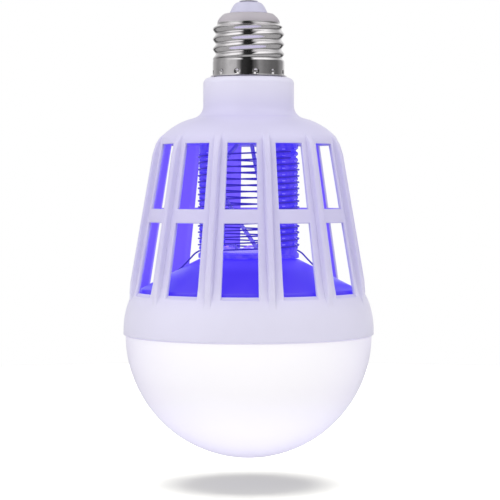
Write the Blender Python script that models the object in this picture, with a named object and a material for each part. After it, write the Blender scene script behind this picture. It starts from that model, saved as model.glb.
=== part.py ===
"""An insect killer lamp: a screw cap, a cage of twelve bars round a high-voltage coil, and a light dome below it.

Lengths are in metres. The lamp hangs from its cap: the origin is the middle of the centre contact's top face,
+Z points into the socket, and the dome is lowest. Angles are in degrees, from the front (-Y) towards +X.
"""

import math

import bmesh
import bpy
from mathutils import Matrix, Vector

# Fits
SEAT_GAP = 0.0003
CUT_OVERRUN = 0.0010

# Screw cap, with an E27 thread
CONTACT_RADIUS = 0.0036
CONTACT_HEIGHT = 0.0006
CONTACT_STEM_RADIUS = 0.0010
CONTACT_STEM_LENGTH = 0.0078
INSULATOR_HEIGHT = 0.0042
INSULATOR_TOP_RADIUS = 0.0050
INSULATOR_ROUND = 0.0004
INSULATOR_FOOT_RADIUS = 0.0071
INSULATOR_FLANGE_RADIUS = 0.0086
INSULATOR_FLANGE_HEIGHT = 0.0014
CROWN_HEIGHT = 0.0033
CROWN_STEP = 0.00155
CROWN_ROUND_HEIGHT = 0.0011
CROWN_ROUND_DEPTH = 0.0004
CROWN_LIP_WIDTH = 0.0019
CROWN_LIP_DROP = 0.0002
THREAD_RADIUS = 0.01315
THREAD_DEPTH = 0.00105
THREAD_PITCH = 0.003629
THREAD_LENGTH = 0.0132
THREAD_RUN_OUT = 0.0018
THREAD_TURN = 114.0
SKIRT_STEP = 0.00005
SKIRT_HEIGHT = 0.0063
SHELL_WALL = 0.0004
FLANGE_WIDTH = 0.0008
FLANGE_HEIGHT = 0.0004
SPIGOT_WALL = 0.0017

# Cage moulding: neck, shoulder, bars, ring and collar
NECK_LAND = 0.00045
NECK_CORNER = 0.0022
NECK_FILLET = 0.0047
NECK_AND_SHOULDER_HEIGHT = 0.0245
SHOULDER_CROWN = 0.0240
SHOULDER_CORNER = 0.0040
SHOULDER_CORNER_TILT = 45.0
SHOULDER_EDGE_HEIGHT = 0.0012
HOUSING_WALL = 0.0022
CAGE_TOP_RADIUS = 0.0329
CAGE_FOOT_RADIUS = 0.0424
BAR_COUNT = 12
WINDOW_ANGLE = 18.0
UPPER_WINDOW_HEIGHT = 0.0233
MIDDLE_RING_HEIGHT = 0.0050
LOWER_WINDOW_HEIGHT = 0.0256
SILL_DROP = 0.0008
BEAD_WIDTH = 0.0025
BEAD_HEIGHT = 0.0020
BEAD_ROUND = 0.0006
BEAD_ROOT = 0.0013
COLLAR_OUT = 0.0036
COLLAR_HEIGHT = 0.0156
COLLAR_FLARE = 2.5
COLLAR_WALL = 0.0017
LEDGE_DROP = 0.0040

# Coil holder and the two grid wires
PLATE_THICKNESS = 0.0024
LEAD_HOLE_RADIUS = 0.0055
HOLDER_SCREWS = 3
HOLDER_SCREW_EDGE = 0.0059
HOLDER_BOSS_RADIUS = 0.0030
HOLDER_SCREW_RADIUS = 0.0010
HOLDER_SCREW_HEAD_RADIUS = 0.0020
HOLDER_SCREW_HEAD_HEIGHT = 0.0011
HOLDER_SCREW_BITE = 0.0030
PLATE_EDGE_GAP = 0.0006
COMB_RADIUS = 0.0183
COMB_THICKNESS = 0.0028
COMB_ANGLE = 42.0
COMB_PLACES = (-121.0, -59.0, 59.0, 121.0)
COMB_GROOVE_WIDTH = 0.0014
COMB_GROOVE_DEPTH = 0.0008
HOLDER_DISC_LIP = 0.0002
HOLDER_DISC_HEIGHT = 0.0017
WIRE_RADIUS = 0.0003
WIRE_SPACING = 0.0023
FIRST_TURN_HEIGHT = 0.0019
WIRE_START_ANGLE = 75.0
WIRE_TAIL_TURN = 9.0
WIRE_TAIL_OUT = 0.0080
WIRE_TAIL_BEND = 0.0014
WIRE_TAIL_HOLE = 0.0010

# Ultraviolet light engine
UV_BOARD_EDGE_GAP = 0.0030
UV_BOARD_THICKNESS = 0.0012
UV_LED_COUNT = 6
UV_LED_EDGE = 0.0035
UV_LED_SIDE = 0.0028
UV_LED_HEIGHT = 0.0009

# Cone between the cage and the driver
CONE_RISE = 0.0110
CONE_EDGE_LIFT = 0.0011
CONE_TOP_RADIUS = 0.0180
CONE_WALL = 0.0016
CONE_FLANGE_THICKNESS = 0.0015

# Driver, heat sink and white light engine
BOARD_THICKNESS = 0.0016
BOARD_EDGE_GAP = 0.0007
CASE_CHAMFER = 0.0004
DRIVER_TRANSFORMER = (0.0120, 0.0110, 0.0090)
DRIVER_TRANSFORMER_PLACE = (0.0125, 0.0085)
HV_TRANSFORMER = (0.0100, 0.0090, 0.0080)
HV_TRANSFORMER_PLACE = (-0.0140, 0.0070)
HV_CAPACITOR = (0.0090, 0.0040, 0.0070)
HV_CAPACITOR_PLACE = (-0.0010, 0.0190)
RECTIFIER = (0.0060, 0.0060, 0.0025)
RECTIFIER_PLACE = (0.0070, -0.0200)
SUPPLY_CAPACITOR_RADIUS = 0.0040
SUPPLY_CAPACITOR_HEIGHT = 0.0100
SUPPLY_CAPACITOR_PLACE = (-0.0070, -0.0150)
CHOKE_RADIUS = 0.0035
CHOKE_HEIGHT = 0.0070
CHOKE_PLACE = (0.0180, -0.0110)
SINK_FLOOR = 0.0015
SINK_RIM_WALL = 0.0012
SINK_RIM_HEIGHT = 0.0040
SINK_BOSS_RADIUS = 0.0034
SINK_BOSS_HEIGHT = 0.0032
LED_BOARD_THICKNESS = 0.0012
WHITE_LED_SIDE = 0.0035
WHITE_LED_HEIGHT = 0.0008
OUTER_LED_COUNT = 8
OUTER_LED_INSET = 0.0070
INNER_LED_COUNT = 4
INNER_LED_CIRCLE = 0.0120
BOARD_SCREWS = 3
BOARD_SCREW_RADIUS = 0.0014
BOARD_SCREW_HEAD_RADIUS = 0.0028
BOARD_SCREW_HEAD_HEIGHT = 0.0016

# Diffuser dome
DOME_STEP = 0.0008
DOME_WALL = 0.0016
DOME_RIM_GAP = 0.0010
DOME_RIM_WALL = 0.0015

# Leads
MAINS_LEAD_RADIUS = 0.00075
UV_LEAD_RADIUS = 0.00045
RESISTOR_RADIUS = 0.0018
RESISTOR_LENGTH = 0.0080
RESISTOR_TAIL = 0.0037
RESISTOR_WIRE_RADIUS = 0.0004

# Facets
CAP_STEPS = 24
CAGE_STEPS = 36
DISC_STEPS = 24
PIN_STEPS = 16
SMALL_STEPS = 8
COMB_STEPS = 2
THREAD_ROWS = 4
DOME_STEPS = 7
COLLAR_STEPS = 4
WIRE_STEPS = 14
WIRE_TAIL_STEP = 0.0020
UV_LEAD_STEP = 0.0024
MAINS_LEAD_STEP = 0.0036

# Radii that follow
SKIRT_RADIUS = THREAD_RADIUS + SKIRT_STEP
FLANGE_RADIUS = SKIRT_RADIUS + FLANGE_WIDTH
CROWN_RADIUS = THREAD_RADIUS - CROWN_STEP
NECK_RADIUS = FLANGE_RADIUS + NECK_LAND + NECK_CORNER
COLLAR_RADIUS = CAGE_FOOT_RADIUS + COLLAR_OUT
DOME_RADIUS = COLLAR_RADIUS - DOME_STEP
HOLDER_DISC_RADIUS = COMB_RADIUS + HOLDER_DISC_LIP
WIRE_TAIL_CIRCLE = COMB_RADIUS + WIRE_TAIL_OUT
UV_BOARD_RADIUS = COMB_RADIUS - COMB_THICKNESS - UV_BOARD_EDGE_GAP
UV_LED_CIRCLE = UV_BOARD_RADIUS - UV_LED_EDGE

# Levels, from the socket down
INSULATOR_TOP = -CONTACT_HEIGHT
CROWN_TOP = INSULATOR_TOP - INSULATOR_HEIGHT
THREAD_TOP = CROWN_TOP - CROWN_HEIGHT
THREAD_FOOT = THREAD_TOP - THREAD_LENGTH
SHELL_FOOT = THREAD_FOOT - SKIRT_HEIGHT - FLANGE_HEIGHT
NECK_TOP = SHELL_FOOT - SEAT_GAP
WINDOW_TOP = NECK_TOP - NECK_AND_SHOULDER_HEIGHT
RING_TOP = WINDOW_TOP - UPPER_WINDOW_HEIGHT
RING_FOOT = RING_TOP - MIDDLE_RING_HEIGHT
WINDOW_FOOT = RING_FOOT - LOWER_WINDOW_HEIGHT
COLLAR_FOOT = WINDOW_FOOT - COLLAR_HEIGHT
LEDGE = WINDOW_FOOT - LEDGE_DROP
PLATE_FOOT = WINDOW_TOP + SEAT_GAP
PLATE_TOP = PLATE_FOOT + PLATE_THICKNESS
CONE_FLANGE_TOP = LEDGE - SEAT_GAP
CONE_FLANGE_FOOT = CONE_FLANGE_TOP - CONE_FLANGE_THICKNESS
CONE_EDGE = WINDOW_FOOT + CONE_EDGE_LIFT
CONE_TOP = CONE_EDGE + CONE_RISE
HOLDER_DISC_FOOT = CONE_TOP + SEAT_GAP
HOLDER_DISC_TOP = HOLDER_DISC_FOOT + HOLDER_DISC_HEIGHT
FIRST_CROSSING = HOLDER_DISC_TOP + FIRST_TURN_HEIGHT
SINK_RIM_TOP = CONE_FLANGE_FOOT - SEAT_GAP
SINK_FOOT = SINK_RIM_TOP - SINK_RIM_HEIGHT
SINK_TOP = SINK_FOOT + SINK_FLOOR
BOARD_FOOT = SINK_TOP + SINK_BOSS_HEIGHT + SEAT_GAP
BOARD_TOP = BOARD_FOOT + BOARD_THICKNESS
LED_BOARD_TOP = SINK_FOOT - SEAT_GAP
LED_BOARD_FOOT = LED_BOARD_TOP - LED_BOARD_THICKNESS
DOME_TOP = COLLAR_FOOT - SEAT_GAP


def srgb(red, green, blue):
    """A colour read from a screen, 0 to 255, as the linear colour that a shader takes."""
    shares = (channel / 255 for channel in (red, green, blue))
    linear = [c / 12.92 if c <= 0.04045 else ((c + 0.055) / 1.055) ** 2.4 for c in shares]
    return (*linear, 1.0)


def finish(name, colour, roughness, metallic=0.0):
    """A plain Principled material."""
    material = bpy.data.materials.new(name)
    material.use_nodes = True
    shader = material.node_tree.nodes["Principled BSDF"]
    shader.inputs["Base Color"].default_value = colour
    shader.inputs["Roughness"].default_value = roughness
    shader.inputs["Metallic"].default_value = metallic
    return material


def spot(angle, radius, height):
    """The point at an angle from the front, a radius from the lamp's axis and a height."""
    turn = math.radians(angle)
    return Vector((radius * math.sin(turn), -radius * math.cos(turn), height))


def cage_radius(height):
    """Outside radius of the cage's sloping wall at a height."""
    share = (WINDOW_TOP - height) / (WINDOW_TOP - WINDOW_FOOT)
    return CAGE_TOP_RADIUS + share * (CAGE_FOOT_RADIUS - CAGE_TOP_RADIUS)


def arc(centre, radius, start, end, steps):
    """Points of an arc in the outline's plane, as (radius from the axis, height)."""
    points = []
    for i in range(steps + 1):
        turn = math.radians(start + (end - start) * i / steps)
        points.append((centre[0] + radius * math.cos(turn), centre[1] + radius * math.sin(turn)))
    return points


def smooth_route(corners, step):
    """Evenly spread points on a smooth curve through the corners of a route."""
    corners = [Vector(corner) for corner in corners]
    before = [2 * corners[0] - corners[1]] + corners
    after = corners + [2 * corners[-1] - corners[-2]]
    points = [corners[0]]
    for i in range(len(corners) - 1):
        p0, p1, p2, p3 = before[i], corners[i], corners[i + 1], after[i + 2]
        count = max(1, round((p2 - p1).length / step))
        for k in range(1, count + 1):
            t = k / count
            points.append(
                0.5 * (2 * p1 + (p2 - p0) * t + (2 * p0 - 5 * p1 + 4 * p2 - p3) * t**2
                       + (3 * p1 - p0 - 3 * p2 + p3) * t**3)
            )
    return points


def add(name, data, material, parent):
    """Puts a mesh or a curve in the scene as one named piece of the lamp."""
    piece = bpy.data.objects.new(name, data)
    bpy.context.scene.collection.objects.link(piece)
    piece.parent = parent
    if material:
        data.materials.append(material)
    return piece


def meshed(name, shape):
    """Turns a bmesh into a mesh with outward faces, smooth where it is round."""
    bmesh.ops.recalc_face_normals(shape, faces=shape.faces)
    mesh = bpy.data.meshes.new(name)
    shape.to_mesh(mesh)
    shape.free()
    mesh.shade_smooth()
    mesh.set_sharp_from_angle(angle=math.radians(35))
    return mesh


def spun(outline, steps):
    """Spins a closed outline of (radius, height) points round the lamp's axis, with a facet facing the front."""
    shape = bmesh.new()
    points = [shape.verts.new((radius, 0.0, height)) for radius, height in outline]
    edges = []
    for one, two in zip(points, points[1:] + points[:1]):
        if one.co.x > 0 or two.co.x > 0:
            edges.append(shape.edges.new((one, two)))
    bmesh.ops.spin(
        shape, geom=points + edges, cent=(0, 0, 0), axis=(0, 0, 1), angle=2 * math.pi, steps=steps, use_merge=True
    )
    bmesh.ops.remove_doubles(shape, verts=shape.verts, dist=1e-7)
    bmesh.ops.rotate(shape, verts=shape.verts, cent=(0, 0, 0), matrix=Matrix.Rotation(math.pi / steps, 3, "Z"))
    return shape


def turned(name, outline, steps, material, parent):
    return add(name, meshed(name, spun(outline, steps)), material, parent)


def lofted(shape, rings):
    """Joins rings of equally many points into one closed body with flat ends."""
    rows = [[shape.verts.new(point) for point in ring] for ring in rings]
    count = len(rows[0])
    for lower, upper in zip(rows, rows[1:]):
        for i in range(count):
            k = (i + 1) % count
            shape.faces.new((lower[i], lower[k], upper[k], upper[i]))
    shape.faces.new(rows[0])
    shape.faces.new(rows[-1])


def post(shape, place, radius, foot, top, steps=SMALL_STEPS):
    """Adds an upright round post to a shape."""
    rings = []
    for height in (foot, top):
        ring = [place + spot(360 * i / steps, radius, height) for i in range(steps)]
        rings.append(ring)
    lofted(shape, rings)


def block(shape, sides, place):
    """Adds a box with its foot's centre at a place."""
    lift = Vector((0, 0, sides[2] / 2))
    made = bmesh.ops.create_cube(shape, size=1)["verts"]
    bmesh.ops.transform(shape, verts=made, matrix=Matrix.Translation(place + lift) @ Matrix.Diagonal((*sides, 1)))


def helper(name, shape, parent):
    """A hidden shape that a Boolean reads."""
    mesh = meshed(name, shape)
    piece = add(name, mesh, None, parent)
    piece.hide_render = True
    piece.display_type = "WIRE"
    return piece


def join(piece, tool):
    modifier = piece.modifiers.new(tool.name, "BOOLEAN")
    modifier.operation = "UNION"
    modifier.object = tool


def cut(piece, tool):
    modifier = piece.modifiers.new(tool.name, "BOOLEAN")
    modifier.operation = "DIFFERENCE"
    modifier.object = tool


def tube(name, points, radius, material, parent, sides=1):
    """A round wire or lead along points, with closed ends."""
    curve = bpy.data.curves.new(name, "CURVE")
    curve.dimensions = "3D"
    curve.bevel_depth = radius
    curve.bevel_resolution = sides
    curve.use_fill_caps = True
    spline = curve.splines.new("POLY")
    spline.points.add(len(points) - 1)
    for node, point in zip(spline.points, points):
        node.co = (*point, 1.0)
    spline.use_smooth = True
    return add(name, curve, material, parent)


def screw_outline(head_radius, head_height, shank_radius, shank_length):
    """A pan head at the foot and a plain shank above it, with the head's seat at height 0."""
    return [
        (0.0, -head_height),
        (0.6 * head_radius, -head_height),
        (head_radius, -0.45 * head_height),
        (head_radius, 0.0),
        (shank_radius, 0.0),
        (shank_radius, shank_length),
        (0.0, shank_length),
    ]


def make_contact(finishes, lamp):
    stem_foot = -CONTACT_STEM_LENGTH
    outline = [
        (0.0, 0.0),
        (CONTACT_RADIUS, 0.0),
        (CONTACT_RADIUS, -CONTACT_HEIGHT + SEAT_GAP),
        (CONTACT_STEM_RADIUS, -CONTACT_HEIGHT + SEAT_GAP),
        (CONTACT_STEM_RADIUS, stem_foot),
        (0.0, stem_foot),
    ]
    turned("centre_contact", outline, PIN_STEPS, finishes["nickel"], lamp)


def make_insulator(finishes, lamp):
    """The pale cone through the crown's hole, with a flange that stops it from below."""
    bore = CONTACT_STEM_RADIUS + SEAT_GAP
    flange_top = CROWN_TOP - SHELL_WALL - SEAT_GAP
    outline = [
        (bore, INSULATOR_TOP),
        (INSULATOR_TOP_RADIUS, INSULATOR_TOP),
        (INSULATOR_TOP_RADIUS + INSULATOR_ROUND, INSULATOR_TOP - INSULATOR_ROUND),
        (INSULATOR_FOOT_RADIUS, CROWN_TOP),
        (INSULATOR_FOOT_RADIUS, flange_top),
        (INSULATOR_FLANGE_RADIUS, flange_top),
        (INSULATOR_FLANGE_RADIUS, flange_top - INSULATOR_FLANGE_HEIGHT),
        (bore, flange_top - INSULATOR_FLANGE_HEIGHT),
    ]
    turned("cap_insulator", outline, PIN_STEPS, finishes["insulator"], lamp)


def thread_dip(angle, height):
    """How far the rolled thread lies below its crest, from 0 to 1; it is a right-hand thread."""
    wave = 0.5 - 0.5 * math.cos(2 * math.pi * height / THREAD_PITCH - math.radians(angle + THREAD_TURN))
    run_out = min(1.0, (height - THREAD_FOOT) / THREAD_RUN_OUT)
    return wave * max(0.0, run_out)


def shell_rows():
    """The shell's outside from the flange up, as (height, radius, whether it is threaded)."""
    rows = [
        (SHELL_FOOT, FLANGE_RADIUS, False),
        (SHELL_FOOT + FLANGE_HEIGHT, FLANGE_RADIUS, False),
        (SHELL_FOOT + FLANGE_HEIGHT, SKIRT_RADIUS, False),
    ]
    count = round(THREAD_ROWS * THREAD_LENGTH / THREAD_PITCH)
    for i in range(count):
        rows.append((THREAD_FOOT + THREAD_LENGTH * i / count, THREAD_RADIUS, True))
    rows += [
        (THREAD_TOP, CROWN_RADIUS, False),
        (THREAD_TOP + CROWN_ROUND_HEIGHT, CROWN_RADIUS - CROWN_ROUND_DEPTH, False),
        (CROWN_TOP - CROWN_LIP_DROP, INSULATOR_FOOT_RADIUS + CROWN_LIP_WIDTH, False),
        (CROWN_TOP, INSULATOR_FOOT_RADIUS + SEAT_GAP, False),
    ]
    return rows


def make_shell(finishes, lamp):
    """One drawn sheet: the inside follows the outside a wall's thickness away."""
    rows = shell_rows()
    inside = []
    for height, radius, threaded in rows[1:]:
        if radius == FLANGE_RADIUS:
            continue
        last = height == CROWN_TOP
        inside.append((height - (0.0 if threaded else SHELL_WALL), radius - (0.0 if last else SHELL_WALL), threaded))
    foot = (SHELL_FOOT, SKIRT_RADIUS - SHELL_WALL, False)
    inside[0] = foot
    shape = bmesh.new()
    loops = []
    for height, radius, threaded in rows + inside[::-1]:
        loop = []
        for i in range(CAP_STEPS):
            angle = 360 * i / CAP_STEPS
            dip = THREAD_DEPTH * thread_dip(angle, height) if threaded else 0.0
            loop.append(shape.verts.new(spot(angle, radius - dip, height)))
        loops.append(loop)
    for lower, upper in zip(loops, loops[1:] + loops[:1]):
        for i in range(CAP_STEPS):
            k = (i + 1) % CAP_STEPS
            shape.faces.new((lower[i], lower[k], upper[k], upper[i]))
    add("screw_shell", meshed("screw_shell", shape), finishes["nickel"], lamp)


def shoulder_outline():
    """The outside from the wall's top edge up to the neck: corner arc, crown arc and fillet, as outline points."""
    wall_tilt = math.degrees(math.atan2(WINDOW_TOP - WINDOW_FOOT, CAGE_FOOT_RADIUS - CAGE_TOP_RADIUS))
    edge = WINDOW_TOP + SHOULDER_EDGE_HEIGHT
    start = math.radians(wall_tilt)
    corner_centre = (
        cage_radius(edge) - SHOULDER_CORNER * math.sin(start),
        edge - SHOULDER_CORNER * math.cos(start),
    )
    corner = arc(corner_centre, SHOULDER_CORNER, 90 - wall_tilt, 90 - SHOULDER_CORNER_TILT, 3)
    tilt = math.radians(SHOULDER_CORNER_TILT)
    crown_centre = (
        corner[-1][0] - SHOULDER_CROWN * math.sin(tilt),
        corner[-1][1] - SHOULDER_CROWN * math.cos(tilt),
    )
    reach = (NECK_RADIUS + NECK_FILLET - crown_centre[0]) / (SHOULDER_CROWN + NECK_FILLET)
    end_tilt = math.degrees(math.asin(reach))
    crown = arc(crown_centre, SHOULDER_CROWN, 90 - SHOULDER_CORNER_TILT, 90 - end_tilt, 4)
    fillet_centre = (
        NECK_RADIUS + NECK_FILLET,
        crown[-1][1] + NECK_FILLET * math.cos(math.radians(end_tilt)),
    )
    fillet = arc(fillet_centre, NECK_FILLET, 270 - end_tilt, 180, 3)
    return corner, crown, fillet


def inset(points, wall):
    """An open outline moved a wall's thickness towards the axis side, square to its own run."""
    moved = []
    for i, (radius, height) in enumerate(points):
        before = points[max(0, i - 1)]
        after = points[min(len(points) - 1, i + 1)]
        run = Vector((after[0] - before[0], after[1] - before[1])).normalized()
        moved.append((radius - wall * abs(run.y), height - wall * abs(run.x)))
    return moved


def shoulder_inside():
    """The inside of the shoulder, from the wall's top edge up to the neck."""
    corner, crown, fillet = shoulder_outline()
    return inset(corner + crown[1:] + fillet[1:], HOUSING_WALL)[1::2]


def shoulder_bore(height):
    """Inside radius of the shoulder at a height."""
    points = shoulder_inside()
    for (low_radius, low), (high_radius, high) in zip(points, points[1:]):
        if low <= height <= high:
            return low_radius + (high_radius - low_radius) * (height - low) / (high - low)
    return points[0][0]


def collar_outline():
    """The collar's outside from its foot up to the windows: a flare that turns into the wall."""
    points = []
    for i in range(COLLAR_STEPS + 1):
        height = COLLAR_FOOT + COLLAR_HEIGHT * i / COLLAR_STEPS
        points.append((collar_radius(height), height))
    return points


def collar_radius(height):
    share = (height - COLLAR_FOOT) / COLLAR_HEIGHT
    return COLLAR_RADIUS - (COLLAR_RADIUS - CAGE_FOOT_RADIUS) * share**COLLAR_FLARE


def housing_outline():
    """The moulding's section, up its outside and down its inside."""
    corner, crown, fillet = shoulder_outline()
    spigot_radius = SKIRT_RADIUS - SHELL_WALL - SEAT_GAP
    spigot_bore = spigot_radius - SPIGOT_WALL
    spigot_top = THREAD_FOOT - SEAT_GAP
    neck_centre = (NECK_RADIUS - NECK_CORNER, NECK_TOP - NECK_CORNER)
    neck_bore = NECK_RADIUS - HOUSING_WALL
    wall_inside = [(cage_radius(height) - HOUSING_WALL, height) for height in (LEDGE, WINDOW_FOOT, WINDOW_TOP)]
    outside = collar_outline() + corner + crown[1:] + fillet[1:]
    outside += arc(neck_centre, NECK_CORNER, 0, 90, 2)
    outside += [(spigot_radius, NECK_TOP), (spigot_radius, spigot_top), (spigot_bore, spigot_top)]
    inside = [(spigot_bore, NECK_TOP - HOUSING_WALL), (neck_bore, NECK_TOP - HOUSING_WALL)]
    inside += shoulder_inside()[::-1]
    inside += wall_inside[::-1]
    inside += [
        (collar_radius(LEDGE) - COLLAR_WALL, LEDGE),
        (collar_radius(SINK_RIM_TOP) - COLLAR_WALL, SINK_RIM_TOP),
        (COLLAR_RADIUS - COLLAR_WALL, COLLAR_FOOT),
    ]
    return outside + inside


def add_beads(shape):
    """A rounded bead down the middle of each bar, which sinks into the shoulder and the collar at its ends."""
    corner, _, _ = shoulder_outline()
    flush = -BEAD_ROUND + 0.0002
    tail = WINDOW_FOOT - 0.35 * COLLAR_HEIGHT
    stations = [
        (corner[-1], 45.0, flush),
        (corner[1], 20.0, 0.8 * BEAD_HEIGHT),
        (corner[0], 0.0, BEAD_HEIGHT),
        ((cage_radius(WINDOW_FOOT), WINDOW_FOOT), 0.0, BEAD_HEIGHT),
        ((collar_radius(WINDOW_FOOT - 0.0024), WINDOW_FOOT - 0.0024), 0.0, 0.45 * BEAD_HEIGHT),
        ((collar_radius(tail), tail), 0.0, flush),
    ]
    half = BEAD_WIDTH / 2
    section = [(-half, None), (-half, -BEAD_ROUND), (-half / 2, 0.0), (half / 2, 0.0), (half, -BEAD_ROUND), (half, None)]
    for bar in range(BAR_COUNT):
        angle = 360 * (bar + 0.5) / BAR_COUNT
        sideways = spot(angle + 90, 1.0, 0.0)
        rings = []
        for (radius, height), tilt, rise in stations:
            lean = math.radians(tilt)
            ring = []
            for across, below in section:
                out = -BEAD_ROOT if below is None else rise + below
                point = spot(angle, radius + out * math.cos(lean), height + out * math.sin(lean))
                ring.append(point + sideways * across)
            rings.append(ring)
        lofted(shape, rings)


def add_windows(shape):
    """A wedge for each window, in two tiers, with the lower edge falling outwards as a sill."""
    tiers = ((WINDOW_FOOT, RING_FOOT), (RING_TOP, WINDOW_TOP))
    near = CAGE_TOP_RADIUS - 3 * HOUSING_WALL
    far = CAGE_FOOT_RADIUS + 3 * HOUSING_WALL
    drop = SILL_DROP * (far - near) / HOUSING_WALL
    for bar in range(BAR_COUNT):
        middle = 360 * bar / BAR_COUNT
        sides = (middle - WINDOW_ANGLE / 2, middle + WINDOW_ANGLE / 2)
        for foot, top in tiers:
            wall = cage_radius(foot)
            sill_near = foot + drop * (wall - HOUSING_WALL - near) / (far - near)
            sill_far = foot - drop * (far - wall + HOUSING_WALL) / (far - near)
            rings = []
            for angle in sides:
                corners = ((near, sill_near), (far, sill_far), (far, top), (near, top))
                rings.append([spot(angle, radius, height) for radius, height in corners])
            lofted(shape, rings)


def coil_plate_radius():
    return shoulder_bore(PLATE_TOP) - PLATE_EDGE_GAP


def holder_screw_places():
    circle = coil_plate_radius() - HOLDER_SCREW_EDGE
    return [spot(360 * (i + 0.5) / HOLDER_SCREWS, circle, 0) for i in range(HOLDER_SCREWS)]


def make_housing(finishes, lamp):
    housing = turned("cage_housing", housing_outline(), CAGE_STEPS, finishes["housing"], lamp)
    _, crown, _ = shoulder_outline()
    reach = coil_plate_radius() - HOLDER_SCREW_EDGE + HOLDER_BOSS_RADIUS
    above = [height for radius, height in crown if radius >= reach]
    boss_top = max(above) - HOUSING_WALL / 2
    boss_foot = PLATE_TOP + SEAT_GAP
    beads = bmesh.new()
    add_beads(beads)
    bosses = bmesh.new()
    holes = bmesh.new()
    for place in holder_screw_places():
        post(bosses, place, HOLDER_BOSS_RADIUS, boss_foot, boss_top)
        hole = HOLDER_SCREW_RADIUS + SEAT_GAP
        post(holes, place, hole, boss_foot - HOUSING_WALL, boss_foot + HOLDER_SCREW_BITE + SEAT_GAP)
    windows = bmesh.new()
    add_windows(windows)
    join(housing, helper("bead_shapes", beads, lamp))
    join(housing, helper("boss_shapes", bosses, lamp))
    cut(housing, helper("window_shapes", windows, lamp))
    cut(housing, helper("boss_hole_shapes", holes, lamp))


def make_coil_plate(finishes, lamp):
    """The disc under the shoulder that carries the comb posts' tops, with a sunk seat for each screw head."""
    radius = coil_plate_radius()
    outline = [
        (LEAD_HOLE_RADIUS, PLATE_FOOT),
        (radius, PLATE_FOOT),
        (radius, PLATE_TOP),
        (LEAD_HOLE_RADIUS, PLATE_TOP),
    ]
    plate = turned("coil_top_plate", outline, DISC_STEPS, finishes["frame"], lamp)
    holes = bmesh.new()
    seats = bmesh.new()
    seat = PLATE_FOOT + HOLDER_SCREW_HEAD_HEIGHT + SEAT_GAP
    for place in holder_screw_places():
        post(holes, place, HOLDER_SCREW_RADIUS + SEAT_GAP, PLATE_FOOT - CUT_OVERRUN, PLATE_TOP + CUT_OVERRUN)
        post(seats, place, HOLDER_SCREW_HEAD_RADIUS + SEAT_GAP, PLATE_FOOT - CUT_OVERRUN, seat)
    cut(plate, helper("plate_hole_shapes", holes, lamp))
    cut(plate, helper("plate_seat_shapes", seats, lamp))
    length = PLATE_TOP - seat + 2 * SEAT_GAP + HOLDER_SCREW_BITE
    outline = screw_outline(HOLDER_SCREW_HEAD_RADIUS, HOLDER_SCREW_HEAD_HEIGHT, HOLDER_SCREW_RADIUS, length)
    screw = meshed("plate_screw", spun(outline, SMALL_STEPS))
    screw.materials.append(finishes["steel"])
    for i, place in enumerate(holder_screw_places()):
        piece = add(f"plate_screw_{i + 1}", screw, None, lamp)
        piece.location = place + Vector((0, 0, seat - SEAT_GAP))


def wire_crossings():
    """How many turns of the two wires, counted together, fit between the lower disc and the upper plate."""
    rise = 2 * WIRE_SPACING * (max(COMB_PLACES) + COMB_ANGLE / 2) / 360
    room = PLATE_FOOT - SEAT_GAP - COMB_GROOVE_WIDTH - rise - FIRST_CROSSING
    return 1 + math.floor(room / WIRE_SPACING)


def make_coil_frame(finishes, lamp):
    """The lower disc and four comb posts of the coil, one moulding."""
    outline = [
        (LEAD_HOLE_RADIUS, HOLDER_DISC_FOOT),
        (HOLDER_DISC_RADIUS, HOLDER_DISC_FOOT),
        (HOLDER_DISC_RADIUS, HOLDER_DISC_TOP),
        (LEAD_HOLE_RADIUS, HOLDER_DISC_TOP),
    ]
    frame = turned("coil_frame", outline, DISC_STEPS, finishes["frame"], lamp)
    back = COMB_RADIUS - COMB_THICKNESS
    floor = COMB_RADIUS - COMB_GROOVE_DEPTH
    foot = HOLDER_DISC_TOP - HOLDER_DISC_HEIGHT / 2
    top = PLATE_FOOT - SEAT_GAP
    half = COMB_GROOVE_WIDTH / 2
    lead = 2 * WIRE_SPACING
    combs = bmesh.new()
    for place in COMB_PLACES:
        lowest = FIRST_CROSSING + lead * (place - COMB_ANGLE / 2) / 360
        first_turn = math.ceil((HOLDER_DISC_TOP + half - lowest) / WIRE_SPACING)
        rings = []
        for i in range(COMB_STEPS + 1):
            angle = place + COMB_ANGLE * (i / COMB_STEPS - 0.5)
            ring = [(back, top), (back, foot), (COMB_RADIUS, foot)]
            for turn in range(first_turn, wire_crossings()):
                height = FIRST_CROSSING + turn * WIRE_SPACING + lead * angle / 360
                ring += [(COMB_RADIUS, height - half), (floor, height), (COMB_RADIUS, height + half)]
            ring.append((COMB_RADIUS, top))
            rings.append([spot(angle, radius, height) for radius, height in ring])
        lofted(combs, rings)
    join(frame, helper("comb_shapes", combs, lamp))


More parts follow.
